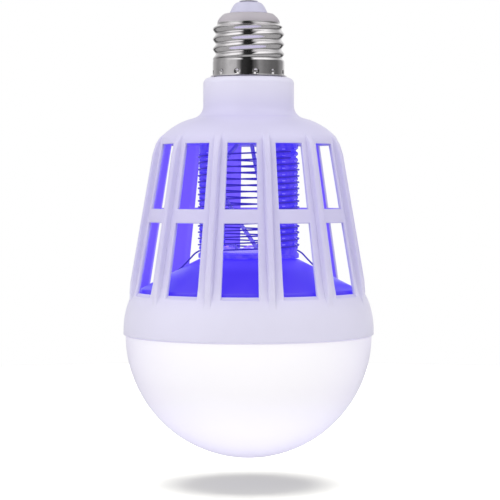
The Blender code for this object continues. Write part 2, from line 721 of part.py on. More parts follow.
def wire_route(first, start, end):
    """A grid wire: its tail up from the driver through the cone, then the winding from one angle to another."""
    groove_slope = COMB_GROOVE_DEPTH / math.hypot(COMB_GROOVE_DEPTH, COMB_GROOVE_WIDTH / 2)
    lie = (WIRE_RADIUS + SEAT_GAP) / math.sqrt(1 - groove_slope**2)
    radius = COMB_RADIUS - COMB_GROOVE_DEPTH + lie
    lead = 2 * WIRE_SPACING
    low = first + lead * start / 360
    tail_angle = start - WIRE_TAIL_TURN
    in_cone = cone_height(WIRE_TAIL_CIRCLE)
    halfway = (WIRE_TAIL_CIRCLE + radius + WIRE_TAIL_BEND) / 2
    tail = [
        spot(tail_angle, WIRE_TAIL_CIRCLE, BOARD_TOP + SEAT_GAP),
        spot(tail_angle, WIRE_TAIL_CIRCLE, (BOARD_TOP + in_cone) / 2),
        spot(tail_angle, WIRE_TAIL_CIRCLE, in_cone),
        spot(start - 0.7 * WIRE_TAIL_TURN, halfway, (in_cone + low) / 2),
        spot(start - 0.4 * WIRE_TAIL_TURN, radius + WIRE_TAIL_BEND, low - WIRE_TAIL_BEND / 2),
    ]
    count = round(WIRE_STEPS * (end - start) / 360)
    winding = []
    for i in range(count + 1):
        angle = start + (end - start) * i / count
        winding.append(spot(angle, radius, first + lead * angle / 360))
    return smooth_route(tail + winding[:1], WIRE_TAIL_STEP) + winding[1:]


def wire_starts():
    """Where each wire begins, between two combs, as (first crossing's height, start angle, end angle)."""
    last = 360 * (wire_crossings() / 2 - 1) + COMB_PLACES[2]
    return (
        (FIRST_CROSSING, -WIRE_START_ANGLE, last),
        (FIRST_CROSSING + WIRE_SPACING, -WIRE_START_ANGLE - 180, last),
    )


def make_wires(finishes, lamp):
    names = ("grid_wire_live", "grid_wire_return")
    for name, (first, start, end) in zip(names, wire_starts()):
        tube(name, wire_route(first, start, end), WIRE_RADIUS, finishes["steel"], lamp, sides=0)


def make_uv_engine(finishes, lamp):
    foot = HOLDER_DISC_TOP + SEAT_GAP
    top = foot + UV_BOARD_THICKNESS
    outline = [
        (LEAD_HOLE_RADIUS, foot),
        (UV_BOARD_RADIUS, foot),
        (UV_BOARD_RADIUS, top),
        (LEAD_HOLE_RADIUS, top),
    ]
    turned("uv_board", outline, PIN_STEPS, finishes["board"], lamp)
    shape = bmesh.new()
    block(shape, (UV_LED_SIDE, UV_LED_SIDE, UV_LED_HEIGHT), Vector())
    led = meshed("uv_led", shape)
    led.materials.append(finishes["uv_led"])
    for i in range(UV_LED_COUNT):
        angle = 360 * i / UV_LED_COUNT
        piece = add(f"uv_led_{i + 1}", led, None, lamp)
        piece.location = spot(angle, UV_LED_CIRCLE, top + SEAT_GAP)
        piece.rotation_euler.z = math.radians(angle)
    for i, side in enumerate((-1, 1)):
        route = [
            (-0.0072, side * 0.0015, top + SEAT_GAP),
            (-0.0066, side * 0.0015, top + 0.0014),
            (-0.0050, side * 0.0013, top + 0.0014),
            (-0.0044, side * 0.0012, top - 0.0006),
            (-0.0044, side * 0.0012, CONE_TOP - CONE_WALL),
            (-0.0050, side * 0.0020, (CONE_TOP + BOARD_TOP) / 2),
            (-0.0050, side * 0.0020, BOARD_TOP + SEAT_GAP),
        ]
        tube(f"uv_lead_{i + 1}", smooth_route(route, UV_LEAD_STEP), UV_LEAD_RADIUS, finishes["lead"], lamp)


def cone_edge_radius():
    return cage_radius(CONE_EDGE) - HOUSING_WALL - SEAT_GAP


def cone_height(radius):
    """Height of the cone's sloping top at a radius."""
    return CONE_TOP - CONE_RISE * (radius - CONE_TOP_RADIUS) / (cone_edge_radius() - CONE_TOP_RADIUS)


def make_cone(finishes, lamp):
    """The white cone under the coil; its skirt stands inside the collar and its flange stops at the ledge."""
    edge = cone_edge_radius()
    flange = collar_radius(LEDGE) - COLLAR_WALL - SEAT_GAP
    slope = math.atan2(CONE_RISE, edge - CONE_TOP_RADIUS)
    drop = CONE_WALL * math.tan(slope / 2)
    outline = [
        (LEAD_HOLE_RADIUS, CONE_TOP),
        (CONE_TOP_RADIUS, CONE_TOP),
        (edge, CONE_EDGE),
        (edge, CONE_FLANGE_TOP),
        (flange, CONE_FLANGE_TOP),
        (flange, CONE_FLANGE_FOOT),
        (edge - CONE_WALL, CONE_FLANGE_FOOT),
        (edge - CONE_WALL, CONE_EDGE - drop),
        (CONE_TOP_RADIUS - drop, CONE_TOP - CONE_WALL),
        (LEAD_HOLE_RADIUS, CONE_TOP - CONE_WALL),
    ]
    cone = turned("base_cone", outline, CAGE_STEPS, finishes["cone"], lamp)
    holes = bmesh.new()
    for _, start, _ in wire_starts():
        place = spot(start - WIRE_TAIL_TURN, WIRE_TAIL_CIRCLE, 0)
        post(holes, place, WIRE_TAIL_HOLE, CONE_EDGE, CONE_TOP + SEAT_GAP)
    cut(cone, helper("tail_hole_shapes", holes, lamp))


def driver_board_radius():
    return cone_edge_radius() - CONE_WALL - BOARD_EDGE_GAP


def make_driver(finishes, lamp):
    """The round driver board on the heat sink's bosses, and what stands on it."""
    radius = driver_board_radius()
    outline = [(0.0, BOARD_FOOT), (radius, BOARD_FOOT), (radius, BOARD_TOP), (0.0, BOARD_TOP)]
    turned("driver_board", outline, DISC_STEPS, finishes["board"], lamp)
    stand = BOARD_TOP + SEAT_GAP
    boxes = {
        "driver_transformer": (DRIVER_TRANSFORMER, DRIVER_TRANSFORMER_PLACE, "yellow_tape"),
        "hv_transformer": (HV_TRANSFORMER, HV_TRANSFORMER_PLACE, "yellow_tape"),
        "hv_capacitor": (HV_CAPACITOR, HV_CAPACITOR_PLACE, "film"),
        "bridge_rectifier": (RECTIFIER, RECTIFIER_PLACE, "black_resin"),
    }
    for name, (sides, place, look) in boxes.items():
        shape = bmesh.new()
        block(shape, sides, Vector((*place, stand)))
        bmesh.ops.bevel(shape, geom=shape.edges, offset=CASE_CHAMFER, segments=1, affect="EDGES")
        add(name, meshed(name, shape), finishes[look], lamp)
    cans = {
        "supply_capacitor": (SUPPLY_CAPACITOR_RADIUS, SUPPLY_CAPACITOR_HEIGHT, SUPPLY_CAPACITOR_PLACE, "sleeve"),
        "choke": (CHOKE_RADIUS, CHOKE_HEIGHT, CHOKE_PLACE, "black_resin"),
    }
    for name, (can, height, place, look) in cans.items():
        outline = [
            (0.0, 0.0),
            (can - CASE_CHAMFER, 0.0),
            (can, CASE_CHAMFER),
            (can, height - CASE_CHAMFER),
            (can - CASE_CHAMFER, height),
            (0.0, height),
        ]
        piece = turned(name, outline, PIN_STEPS, finishes[look], lamp)
        piece.location = (*place, stand)


def dome_rim_radius():
    return collar_radius(SINK_FOOT) - COLLAR_WALL - DOME_RIM_GAP


def board_screw_circle():
    return driver_board_radius() - SINK_BOSS_RADIUS


def board_screw_places():
    return [spot(360 * (i + 0.5) / BOARD_SCREWS, board_screw_circle(), 0) for i in range(BOARD_SCREWS)]


def make_light_engine(finishes, lamp):
    """The heat sink pan, the white light board under it, its LEDs and the screws that hold them."""
    radius = collar_radius(SINK_RIM_TOP) - COLLAR_WALL - SEAT_GAP
    rim = radius - SINK_RIM_WALL
    outline = [
        (0.0, SINK_FOOT),
        (radius, SINK_FOOT),
        (radius, SINK_RIM_TOP),
        (rim, SINK_RIM_TOP),
        (rim, SINK_TOP),
        (0.0, SINK_TOP),
    ]
    sink = turned("heat_sink", outline, CAGE_STEPS, finishes["aluminium"], lamp)
    edge = dome_rim_radius() - DOME_RIM_WALL - SEAT_GAP
    outline = [(0.0, LED_BOARD_FOOT), (edge, LED_BOARD_FOOT), (edge, LED_BOARD_TOP), (0.0, LED_BOARD_TOP)]
    board = turned("led_board", outline, DISC_STEPS, finishes["white_board"], lamp)
    boss_top = SINK_TOP + SINK_BOSS_HEIGHT
    bosses, holes, board_holes = bmesh.new(), bmesh.new(), bmesh.new()
    for place in board_screw_places():
        post(bosses, place, SINK_BOSS_RADIUS, SINK_TOP - SINK_FLOOR / 2, boss_top)
        hole = BOARD_SCREW_RADIUS + SEAT_GAP
        post(holes, place, hole, SINK_FOOT - CUT_OVERRUN, boss_top + CUT_OVERRUN)
        post(board_holes, place, hole, LED_BOARD_FOOT - CUT_OVERRUN, LED_BOARD_TOP + CUT_OVERRUN)
    join(sink, helper("sink_boss_shapes", bosses, lamp))
    cut(sink, helper("sink_hole_shapes", holes, lamp))
    cut(board, helper("board_hole_shapes", board_holes, lamp))
    seat = LED_BOARD_FOOT - SEAT_GAP
    length = boss_top - seat
    outline = screw_outline(BOARD_SCREW_HEAD_RADIUS, BOARD_SCREW_HEAD_HEIGHT, BOARD_SCREW_RADIUS, length)
    screw = meshed("board_screw", spun(outline, SMALL_STEPS))
    screw.materials.append(finishes["steel"])
    for i, place in enumerate(board_screw_places()):
        piece = add(f"board_screw_{i + 1}", screw, None, lamp)
        piece.location = place + Vector((0, 0, seat))
    shape = bmesh.new()
    block(shape, (WHITE_LED_SIDE, WHITE_LED_SIDE, WHITE_LED_HEIGHT), Vector())
    led = meshed("white_led", shape)
    led.materials.append(finishes["white_led"])
    number = 0
    outer_circle = board_screw_circle() - OUTER_LED_INSET
    for count, circle in ((OUTER_LED_COUNT, outer_circle), (INNER_LED_COUNT, INNER_LED_CIRCLE)):
        for i in range(count):
            number += 1
            angle = 360 * i / count
            piece = add(f"white_led_{number}", led, None, lamp)
            piece.location = spot(angle, circle, LED_BOARD_FOOT - SEAT_GAP - WHITE_LED_HEIGHT)
            piece.rotation_euler.z = math.radians(angle)


def make_diffuser(finishes, lamp):
    """The opal dome, with a rim that stands up inside the collar as far as the heat sink."""
    rim = dome_rim_radius()
    rim_top = SINK_FOOT - SEAT_GAP
    outside = arc((0.0, DOME_TOP), DOME_RADIUS, -90, 0, DOME_STEPS)
    inner = DOME_RADIUS - DOME_WALL
    shoulder = math.degrees(math.acos((rim - DOME_RIM_WALL) / inner))
    inside = arc((0.0, DOME_TOP), inner, -shoulder, -90, DOME_STEPS - 2)
    outside[0] = (0.0, DOME_TOP - DOME_RADIUS)
    inside[-1] = (0.0, DOME_TOP - inner)
    outline = outside + [
        (rim, DOME_TOP),
        (rim, rim_top),
        (rim - DOME_RIM_WALL, rim_top),
    ]
    turned("diffuser", outline + inside, CAGE_STEPS, finishes["opal"], lamp)


def make_leads(finishes, lamp):
    """The fuse resistor under the contact, and the two mains leads down through the coil to the driver."""
    wire_top = -CONTACT_STEM_LENGTH - SEAT_GAP
    body_top = wire_top - RESISTOR_TAIL
    body_foot = body_top - RESISTOR_LENGTH
    wire_foot = body_foot - RESISTOR_TAIL
    outline = [
        (0.0, wire_foot),
        (RESISTOR_WIRE_RADIUS, wire_foot),
        (RESISTOR_WIRE_RADIUS, body_foot),
        (RESISTOR_RADIUS, body_foot),
        (RESISTOR_RADIUS, body_top),
        (RESISTOR_WIRE_RADIUS, body_top),
        (RESISTOR_WIRE_RADIUS, wire_top),
        (0.0, wire_top),
    ]
    turned("fuse_resistor", outline, SMALL_STEPS, finishes["ceramic"], lamp)
    lift = HOLDER_DISC_TOP
    centre_route = [
        (0.0, 0.0, wire_foot - SEAT_GAP),
        (0.0, 0.0, NECK_TOP - 0.008),
        (-0.0020, 0.0010, PLATE_TOP + 0.004),
        (-0.0042, 0.0010, PLATE_FOOT),
        (-0.0085, 0.0, lift + 0.0345),
        (-0.0102, -0.0010, lift + 0.0275),
        (-0.0085, -0.0020, lift + 0.0205),
        (-0.0052, -0.0025, lift + 0.0150),
        (-0.0025, -0.0025, lift + 0.0104),
        (0.0006, -0.0022, lift + 0.0058),
        (0.0029, -0.0018, lift + 0.0018),
        (0.0032, -0.0016, CONE_TOP - CONE_WALL),
        (0.0030, -0.0018, (CONE_TOP + BOARD_TOP) / 2),
        (0.0030, -0.0018, BOARD_TOP + SEAT_GAP),
    ]
    tip = SKIRT_RADIUS - SHELL_WALL - THREAD_DEPTH - SEAT_GAP
    shell_route = [
        (tip, 0.0, THREAD_FOOT + 0.0012),
        (tip - 0.0018, 0.0, THREAD_FOOT + 0.0014),
        (tip - 0.0042, 0.0002, THREAD_FOOT),
        (0.0060, 0.0010, NECK_TOP - 0.001),
        (0.0040, 0.0020, NECK_TOP - 0.012),
        (0.0008, 0.0026, PLATE_TOP + 0.003),
        (0.0010, 0.0026, PLATE_FOOT),
        (0.0031, 0.0026, lift + 0.0292),
        (0.0055, 0.0030, lift + 0.0200),
        (0.0062, 0.0034, lift + 0.0110),
        (0.0046, 0.0036, lift + 0.0050),
        (0.0027, 0.0033, lift + 0.0012),
        (0.0024, 0.0033, CONE_TOP - CONE_WALL),
        (0.0024, 0.0034, (CONE_TOP + BOARD_TOP) / 2),
        (0.0024, 0.0034, BOARD_TOP + SEAT_GAP),
    ]
    for name, route in (("centre_lead", centre_route), ("shell_lead", shell_route)):
        tube(name, smooth_route(route, MAINS_LEAD_STEP), MAINS_LEAD_RADIUS, finishes["lead"], lamp)


def make_finishes():
    return {
        "housing": finish("lavender_plastic", srgb(214, 208, 240), 0.45),
        "frame": finish("coil_plastic", srgb(120, 105, 235), 0.40),
        "cone": finish("base_plastic", srgb(215, 208, 245), 0.40),
        "insulator": finish("insulator_plastic", srgb(206, 203, 226), 0.45),
        "nickel": finish("nickel_plate", srgb(205, 203, 205), 0.15, 1.0),
        "steel": finish("steel_wire", srgb(150, 150, 158), 0.30, 1.0),
        "aluminium": finish("aluminium", srgb(200, 202, 205), 0.35, 1.0),
        "opal": finish("opal_plastic", srgb(250, 249, 254), 0.35),
        "board": finish("circuit_board", srgb(40, 110, 70), 0.50),
        "white_board": finish("white_circuit_board", srgb(238, 238, 236), 0.45),
        "uv_led": finish("violet_led", srgb(150, 120, 255), 0.30),
        "white_led": finish("white_led", srgb(250, 236, 170), 0.30),
        "lead": finish("lead_sleeve", srgb(226, 222, 240), 0.50),
        "ceramic": finish("resistor_coat", srgb(150, 170, 200), 0.55),
        "yellow_tape": finish("winding_tape", srgb(230, 200, 60), 0.45),
        "black_resin": finish("black_resin", srgb(38, 38, 42), 0.45),
        "sleeve": finish("capacitor_sleeve", srgb(40, 45, 60), 0.35),
        "film": finish("film_capacitor_case", srgb(170, 60, 40), 0.40),
    }


def main():
    for old in list(bpy.data.objects):
        bpy.data.objects.remove(old, do_unlink=True)
    lamp = bpy.data.objects.new("lamp", None)
    bpy.context.scene.collection.objects.link(lamp)
    finishes = make_finishes()
    make_contact(finishes, lamp)
    make_insulator(finishes, lamp)
    make_shell(finishes, lamp)
    make_housing(finishes, lamp)
    make_coil_plate(finishes, lamp)
    make_coil_frame(finishes, lamp)
    make_wires(finishes, lamp)
    make_uv_engine(finishes, lamp)
    make_cone(finishes, lamp)
    make_driver(finishes, lamp)
    make_light_engine(finishes, lamp)
    make_diffuser(finishes, lamp)
    make_leads(finishes, lamp)


main()
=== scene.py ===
# %% [markdown]
# # An insect killer lamp in Blender
# The real object is a light bulb with two lamps in one: an opal dome with white LEDs at its foot,
# and above it a barred cage round a high-voltage coil that violet LEDs light from inside. It hangs
# from an E27 screw cap. The CAD model is already packed, in metres, with the cap's contact at the
# origin and +Z into the socket. Here each visible piece gets its fine shape and its finish, and
# stays exactly where the CAD has it.

import math

import bmesh
import bpy
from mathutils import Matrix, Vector


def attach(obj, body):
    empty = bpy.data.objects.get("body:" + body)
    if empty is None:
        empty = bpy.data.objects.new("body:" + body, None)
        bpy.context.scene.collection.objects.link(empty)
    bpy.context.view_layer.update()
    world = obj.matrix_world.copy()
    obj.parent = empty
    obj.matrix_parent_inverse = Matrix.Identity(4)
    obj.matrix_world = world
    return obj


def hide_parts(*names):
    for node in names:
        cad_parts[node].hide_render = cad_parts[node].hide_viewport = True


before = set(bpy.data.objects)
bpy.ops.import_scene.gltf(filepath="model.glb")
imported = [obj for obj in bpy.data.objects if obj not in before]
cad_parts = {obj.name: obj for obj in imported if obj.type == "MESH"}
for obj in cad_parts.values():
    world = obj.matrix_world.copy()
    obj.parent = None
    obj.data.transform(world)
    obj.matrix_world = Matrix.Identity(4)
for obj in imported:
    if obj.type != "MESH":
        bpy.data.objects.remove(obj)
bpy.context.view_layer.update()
print("nodes in the packed model:", len(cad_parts))

# %% [markdown]
# ## Camera
# The photograph looks almost level at the middle of the cage. A real camera at 0.72 m with a long
# lens gives the same mild perspective: the collar's lower edge curves down, and the sills of the
# windows stay nearly flat. A camera can be turned by hand, but a tracked direction is easier to
# read back: the view direction is written as an angle round the lamp and an angle above the level,
# and the lens follows from the width that has to fit.

# %% Camera
VIEW_ANGLE = math.radians(4.1)
VIEW_RISE = math.radians(1.77)
VIEW_DISTANCE = 0.717
VIEW_CENTRE_HEIGHT = -0.09145
VIEW_CENTRE_SIDE = 0.00051
VIEW_WIDTH = 0.1839
SENSOR_WIDTH = 36.0


def make_camera():
    back = Vector((
        math.sin(VIEW_ANGLE) * math.cos(VIEW_RISE),
        -math.cos(VIEW_ANGLE) * math.cos(VIEW_RISE),
        math.sin(VIEW_RISE),
    ))
    side = Vector((math.cos(VIEW_ANGLE), math.sin(VIEW_ANGLE), 0.0))
    aim = VIEW_CENTRE_SIDE * side + Vector((0.0, 0.0, VIEW_CENTRE_HEIGHT))
    data = bpy.data.cameras.new("camera")
    data.sensor_fit = "HORIZONTAL"
    data.sensor_width = SENSOR_WIDTH
    data.lens = SENSOR_WIDTH * VIEW_DISTANCE / VIEW_WIDTH
    data.clip_start = 0.01
    data.clip_end = 10.0
    camera = bpy.data.objects.new("camera", data)
    bpy.context.scene.collection.objects.link(camera)
    camera.location = aim + VIEW_DISTANCE * back
    camera.rotation_euler = back.to_track_quat("Z", "Y").to_euler()
    bpy.context.scene.camera = camera
    return camera


camera = make_camera()
print("lens:", round(camera.data.lens, 1), "mm, at", [round(value, 3) for value in camera.location])

# %% [markdown]
# ## Node helpers
# Every finish below is a small tree of shader nodes. Three helpers keep those trees short: one adds
# a node and links or sets its inputs, one does a sum, and one opens a node group with named
# sockets. A group is made once and placed in many materials with other values. It only puts out
# numbers, colours and heights that change over the surface. The shader itself stays in each
# material.

# %% Node helpers
def add_node(tree, kind, inputs=None, **settings):
    """Adds a node: an input that is a socket is linked, and any other is set."""
    node = tree.nodes.new(kind)
    for name, value in settings.items():
        setattr(node, name, value)
    for name, value in (inputs or {}).items():
        if isinstance(value, bpy.types.NodeSocket):
            tree.links.new(value, node.inputs[name])
        else:
            node.inputs[name].default_value = value
    return node


def sum_of(tree, operation, one, two=0.0, clamp=False):
    """A Math node's result."""
    return add_node(tree, "ShaderNodeMath", {0: one, 1: two}, operation=operation, use_clamp=clamp).outputs[0]


def vector_sum(tree, operation, one, two=(0.0, 0.0, 0.0)):
    """A Vector Math node, whose first output is a vector and whose Value output is a number."""
    return add_node(tree, "ShaderNodeVectorMath", {0: one, 1: two}, operation=operation)


def ramp_up(tree, value, low, high):
    """A smooth step from 0 at low to 1 at high."""
    inputs = {"Value": value, "From Min": low, "From Max": high, "To Min": 0.0, "To Max": 1.0}
    return add_node(tree, "ShaderNodeMapRange", inputs, interpolation_type="SMOOTHSTEP").outputs["Result"]


def new_group(name, inputs, outputs):
    """Opens a node group with float inputs and their usual values, and float outputs."""
    tree = bpy.data.node_groups.new(name, "ShaderNodeTree")
    for socket, usual in inputs.items():
        made = tree.interface.new_socket(socket, in_out="INPUT", socket_type="NodeSocketFloat")
        made.default_value = usual
    for socket in outputs:
        tree.interface.new_socket(socket, in_out="OUTPUT", socket_type="NodeSocketFloat")
    return tree, tree.nodes.new("NodeGroupInput"), tree.nodes.new("NodeGroupOutput")


def place_group(material, group, **values):
    """Puts a group in a material with its own values."""
    node = material.node_tree.nodes.new("ShaderNodeGroup")
    node.node_tree = group
    for name, value in values.items():
        node.inputs[name.replace("_", " ")].default_value = value
    return node


def screen(red, green, blue):
    """A colour read from a screen, 0 to 255, as the linear colour that a shader takes."""
    shares = [channel / 255 for channel in (red, green, blue)]
    return (*[c / 12.92 if c <= 0.04045 else ((c + 0.055) / 1.055) ** 2.4 for c in shares], 1.0)


print("pale lavender as a shader colour:", [round(value, 3) for value in screen(214, 208, 240)])

# %% [markdown]
# ## Effect: moulded skin
# Moulded plastic is never perfectly even. Its colour drifts a little where the melt cooled, its
# gloss follows the polish of the mould, and under a lens it has a faint grain. Painting that by
# hand is slow and gives seams, so two noises in the part's own coordinates do it: a broad one for
# the drift and a fine one for the grain.

# %% Group: moulded skin
def make_moulded_skin():
    tree, given, put = new_group(
        "moulded_skin",
        {"Drift": 0.04, "Drift Scale": 60.0, "Grain Scale": 2200.0, "Gloss": 0.4, "Gloss Spread": 0.06},
        ("Shade", "Roughness", "Height"),
    )
    place = add_node(tree, "ShaderNodeTexCoord").outputs["Object"]
    inputs = {"Vector": place, "Scale": given.outputs["Drift Scale"], "Detail": 2.0, "Roughness": 0.5}
    drift = add_node(tree, "ShaderNodeTexNoise", inputs).outputs["Fac"]
    inputs = {"Vector": place, "Scale": given.outputs["Grain Scale"], "Detail": 3.0, "Roughness": 0.6}
    grain = add_node(tree, "ShaderNodeTexNoise", inputs).outputs["Fac"]
    centred = sum_of(tree, "SUBTRACT", drift, 0.5)
    shade = sum_of(tree, "ADD", sum_of(tree, "MULTIPLY", centred, given.outputs["Drift"]), 1.0)
    spread = sum_of(tree, "MULTIPLY", sum_of(tree, "SUBTRACT", grain, 0.5), given.outputs["Gloss Spread"])
    tree.links.new(shade, put.inputs["Shade"])
    tree.links.new(sum_of(tree, "ADD", given.outputs["Gloss"], spread, clamp=True), put.inputs["Roughness"])
    tree.links.new(grain, put.inputs["Height"])
    return tree


moulded_skin = make_moulded_skin()
print("group outputs:", [item.name for item in moulded_skin.interface.items_tree if item.in_out == "OUTPUT"])

# %% [markdown]
# ## Effect: violet wash
# The violet LEDs stand inside the coil, so the light falls on whatever faces the lamp's axis: the
# inner sides of the bars, the cone and the comb posts. Lamps alone would light them in this
# picture, but the finish should carry the glow with it, also where no lamp stands inside. The mask
# is worked out from the surface: how far it turns towards the axis, and how near it lies to the
# glowing middle of the coil.

# %% Group: violet wash
def make_violet_wash():
    tree, given, put = new_group(
        "violet_wash",
        {"Middle Height": -0.083, "Near": 0.020, "Far": 0.060, "Facing Low": -0.15, "Facing High": 0.55},
        ("Mask", "Nearness"),
    )
    place = add_node(tree, "ShaderNodeTexCoord").outputs["Object"]
    parts = add_node(tree, "ShaderNodeSeparateXYZ", {0: place})
    inputs = {"X": parts.outputs["X"], "Y": parts.outputs["Y"]}
    flat = add_node(tree, "ShaderNodeCombineXYZ", inputs).outputs[0]
    inward = vector_sum(tree, "SCALE", vector_sum(tree, "NORMALIZE", flat).outputs[0])
    inward.inputs["Scale"].default_value = -1.0
    normal = add_node(tree, "ShaderNodeNewGeometry").outputs["Normal"]
    facing = vector_sum(tree, "DOT_PRODUCT", normal, inward.outputs[0]).outputs["Value"]
    turned_in = ramp_up(tree, facing, given.outputs["Facing Low"], given.outputs["Facing High"])
    below = sum_of(tree, "SUBTRACT", parts.outputs["Z"], given.outputs["Middle Height"])
    inputs = {"X": parts.outputs["X"], "Y": parts.outputs["Y"], "Z": below}
    from_middle = add_node(tree, "ShaderNodeCombineXYZ", inputs).outputs[0]
    reach = vector_sum(tree, "LENGTH", from_middle).outputs["Value"]
    far = ramp_up(tree, reach, given.outputs["Near"], given.outputs["Far"])
    near = sum_of(tree, "SUBTRACT", 1.0, far)
    tree.links.new(sum_of(tree, "MULTIPLY", turned_in, near, clamp=True), put.inputs["Mask"])
    tree.links.new(near, put.inputs["Nearness"])
    return tree


violet_wash = make_violet_wash()
print("group outputs:", [item.name for item in violet_wash.interface.items_tree if item.in_out == "OUTPUT"])

# %% [markdown]
# ## Effect: drawn metal
# The cap's shell is drawn from thin sheet, rolled to its thread and nickel plated. Close up it
# carries faint rings from the rolling and cloudy spots from handling. A noise that is squeezed
# along the axis gives the rings, and a broad one gives the clouds. Both only touch the roughness
# and a very low bump, because the plate stays bright.

# %% Group: drawn metal
RING_SQUEEZE = (0.02, 0.02, 1.0)
CLOUD_SCALE = 180.0
CLOUD_EDGES = (0.42, 0.75)


def make_drawn_metal():
    tree, given, put = new_group(
        "drawn_metal",
        {"Gloss": 0.12, "Ring Gloss": 0.10, "Cloud Gloss": 0.10, "Ring Scale": 3000.0},
        ("Roughness", "Height", "Cloud"),
    )
    place = add_node(tree, "ShaderNodeTexCoord").outputs["Object"]
    squeeze = vector_sum(tree, "MULTIPLY", place, RING_SQUEEZE).outputs[0]
    inputs = {"Vector": squeeze, "Scale": given.outputs["Ring Scale"], "Detail": 3.0, "Roughness": 0.6}
    rings = add_node(tree, "ShaderNodeTexNoise", inputs).outputs["Fac"]
    inputs = {"Vector": place, "Scale": CLOUD_SCALE, "Detail": 3.0, "Roughness": 0.55}
    clouds = add_node(tree, "ShaderNodeTexNoise", inputs).outputs["Fac"]
    cloudy = ramp_up(tree, clouds, *CLOUD_EDGES)
    from_rings = sum_of(tree, "MULTIPLY", rings, given.outputs["Ring Gloss"])
    from_clouds = sum_of(tree, "MULTIPLY", cloudy, given.outputs["Cloud Gloss"])
    both = sum_of(tree, "ADD", from_rings, from_clouds)
    tree.links.new(sum_of(tree, "ADD", both, given.outputs["Gloss"], clamp=True), put.inputs["Roughness"])
    tree.links.new(rings, put.inputs["Height"])
    tree.links.new(cloudy, put.inputs["Cloud"])
    return tree


drawn_metal = make_drawn_metal()
print("group outputs:", [item.name for item in drawn_metal.interface.items_tree if item.in_out == "OUTPUT"])

# %% [markdown]
# ## Finishes: helpers
# Every finish starts as a material with one Principled shader. What is the same all over a piece,
# such as how metallic it is, is set on the shader's own sockets, because an exported model keeps
# only those. What changes over the surface comes in through nodes. A few helpers scale a colour,
# mix two, turn a height into a bump, and let a piece shine by itself.

# %% Finishes: helpers
BLACK = (0.0, 0.0, 0.0, 1.0)


def start_material(name, metallic=0.0, **sockets):
    """A new material, its node tree and its shader, with some of the shader's sockets set."""
    material = bpy.data.materials.new(name)
    material.use_nodes = True
    shader = material.node_tree.nodes["Principled BSDF"]
    shader.inputs["Metallic"].default_value = metallic
    for socket, value in sockets.items():
        shader.inputs[socket.replace("_", " ")].default_value = value
    return material, material.node_tree, shader


def scaled(tree, colour, shade):
    """A colour, or a socket's colour, times a shade."""
    colour = colour if isinstance(colour, bpy.types.NodeSocket) else colour[:3]
    return add_node(tree, "ShaderNodeVectorMath", {0: colour, "Scale": shade}, operation="SCALE").outputs[0]


def blend_colours(tree, share, one, two):
    """A Mix node between two colours, or two sockets' colours."""
    node = add_node(tree, "ShaderNodeMix", data_type="RGBA")
    tree.links.new(share, node.inputs["Factor"])
    for place, colour in (("A_Color", one), ("B_Color", two)):
        socket = next(s for s in node.inputs if s.identifier == place)
        if isinstance(colour, bpy.types.NodeSocket):
            tree.links.new(colour, socket)
        else:
            socket.default_value = colour
    return next(s for s in node.outputs if s.identifier == "Result_Color")


def add_bump(tree, shader, height, depth, strength=0.5):
    """Turns a height into a bump on the shader's normal; depth is in metres."""
    bump = add_node(tree, "ShaderNodeBump", {"Height": height, "Strength": strength, "Distance": depth})
    tree.links.new(bump.outputs["Normal"], shader.inputs["Normal"])


def add_glow(tree, shader, colour, strength):
    """Lets a piece shine: the colour may change over its surface, and the strength is the same all over."""
    tree.links.new(colour, shader.inputs["Emission Color"])
    shader.inputs["Emission Strength"].default_value = strength


finishes = {}
print("materials before the first finish:", len(bpy.data.materials))

# %% [markdown]
# ## Finishes: plain plastics
# Moulded pieces share one recipe: a base colour times the skin's shade, the skin's roughness, and a
# very low bump from its grain. The cap's insulator takes it as it is. So do the boards, parts and
# sleeves inside the lamp, which hardly show, but should look right when somebody opens the model.

# %% Finishes: plain plastics
def plastic(name, colour, gloss=0.4, drift=0.05, drift_scale=60.0, grain=2200.0, depth=0.00002, **sockets):
    """An evenly coloured moulded piece."""
    material, tree, shader = start_material(name, **sockets)
    values = {"Drift": drift, "Drift_Scale": drift_scale, "Grain_Scale": grain, "Gloss": gloss}
    skin = place_group(material, moulded_skin, **values)
    tree.links.new(scaled(tree, colour, skin.outputs["Shade"]), shader.inputs["Base Color"])
    tree.links.new(skin.outputs["Roughness"], shader.inputs["Roughness"])
    add_bump(tree, shader, skin.outputs["Height"], depth)
    return material, tree, shader, skin


# Name, colour, gloss, drift, drift scale and grain scale. The last ones may be left at their usual values.
PLAIN_PLASTICS = {
    "insulator": ("insulator_plastic", screen(200, 198, 221), 0.38),
    "board": ("circuit_board", screen(40, 110, 70), 0.35, 0.25, 350.0, 1200.0),
    "white_board": ("white_circuit_board", screen(238, 238, 236), 0.40, 0.03, 200.0),
    "package": ("led_package", screen(236, 234, 244), 0.40, 0.04, 500.0),
    "lead": ("lead_sleeve", screen(196, 188, 240), 0.42, 0.06, 300.0, 1800.0),
    "ceramic": ("resistor_coat", screen(150, 170, 200), 0.55, 0.10, 700.0),
    "tape": ("winding_tape", screen(230, 200, 60), 0.40, 0.12, 400.0),
    "resin": ("black_resin", screen(38, 38, 42), 0.45, 0.30, 500.0),
    "sleeve": ("capacitor_sleeve", screen(40, 45, 60), 0.30, 0.20, 300.0),
    "film": ("film_case", screen(170, 60, 40), 0.32, 0.15, 300.0),
}
finishes.update({look: plastic(*values)[0] for look, values in PLAIN_PLASTICS.items()})
print("plain plastics:", ", ".join(PLAIN_PLASTICS))

# %% [markdown]
# ## Finishes: metals
# Metals take the drawn-metal group, and clouds in the plate dull their colour a little. The cap's
# shell needs more: where the thread is rolled it is as bright as a mirror, but the crown above it
# keeps the grain of the stretched sheet and looks like grey satin. A mask by height blends from one
# to the other.

# %% Finishes: metals
CLOUD_DULLNESS = 0.88


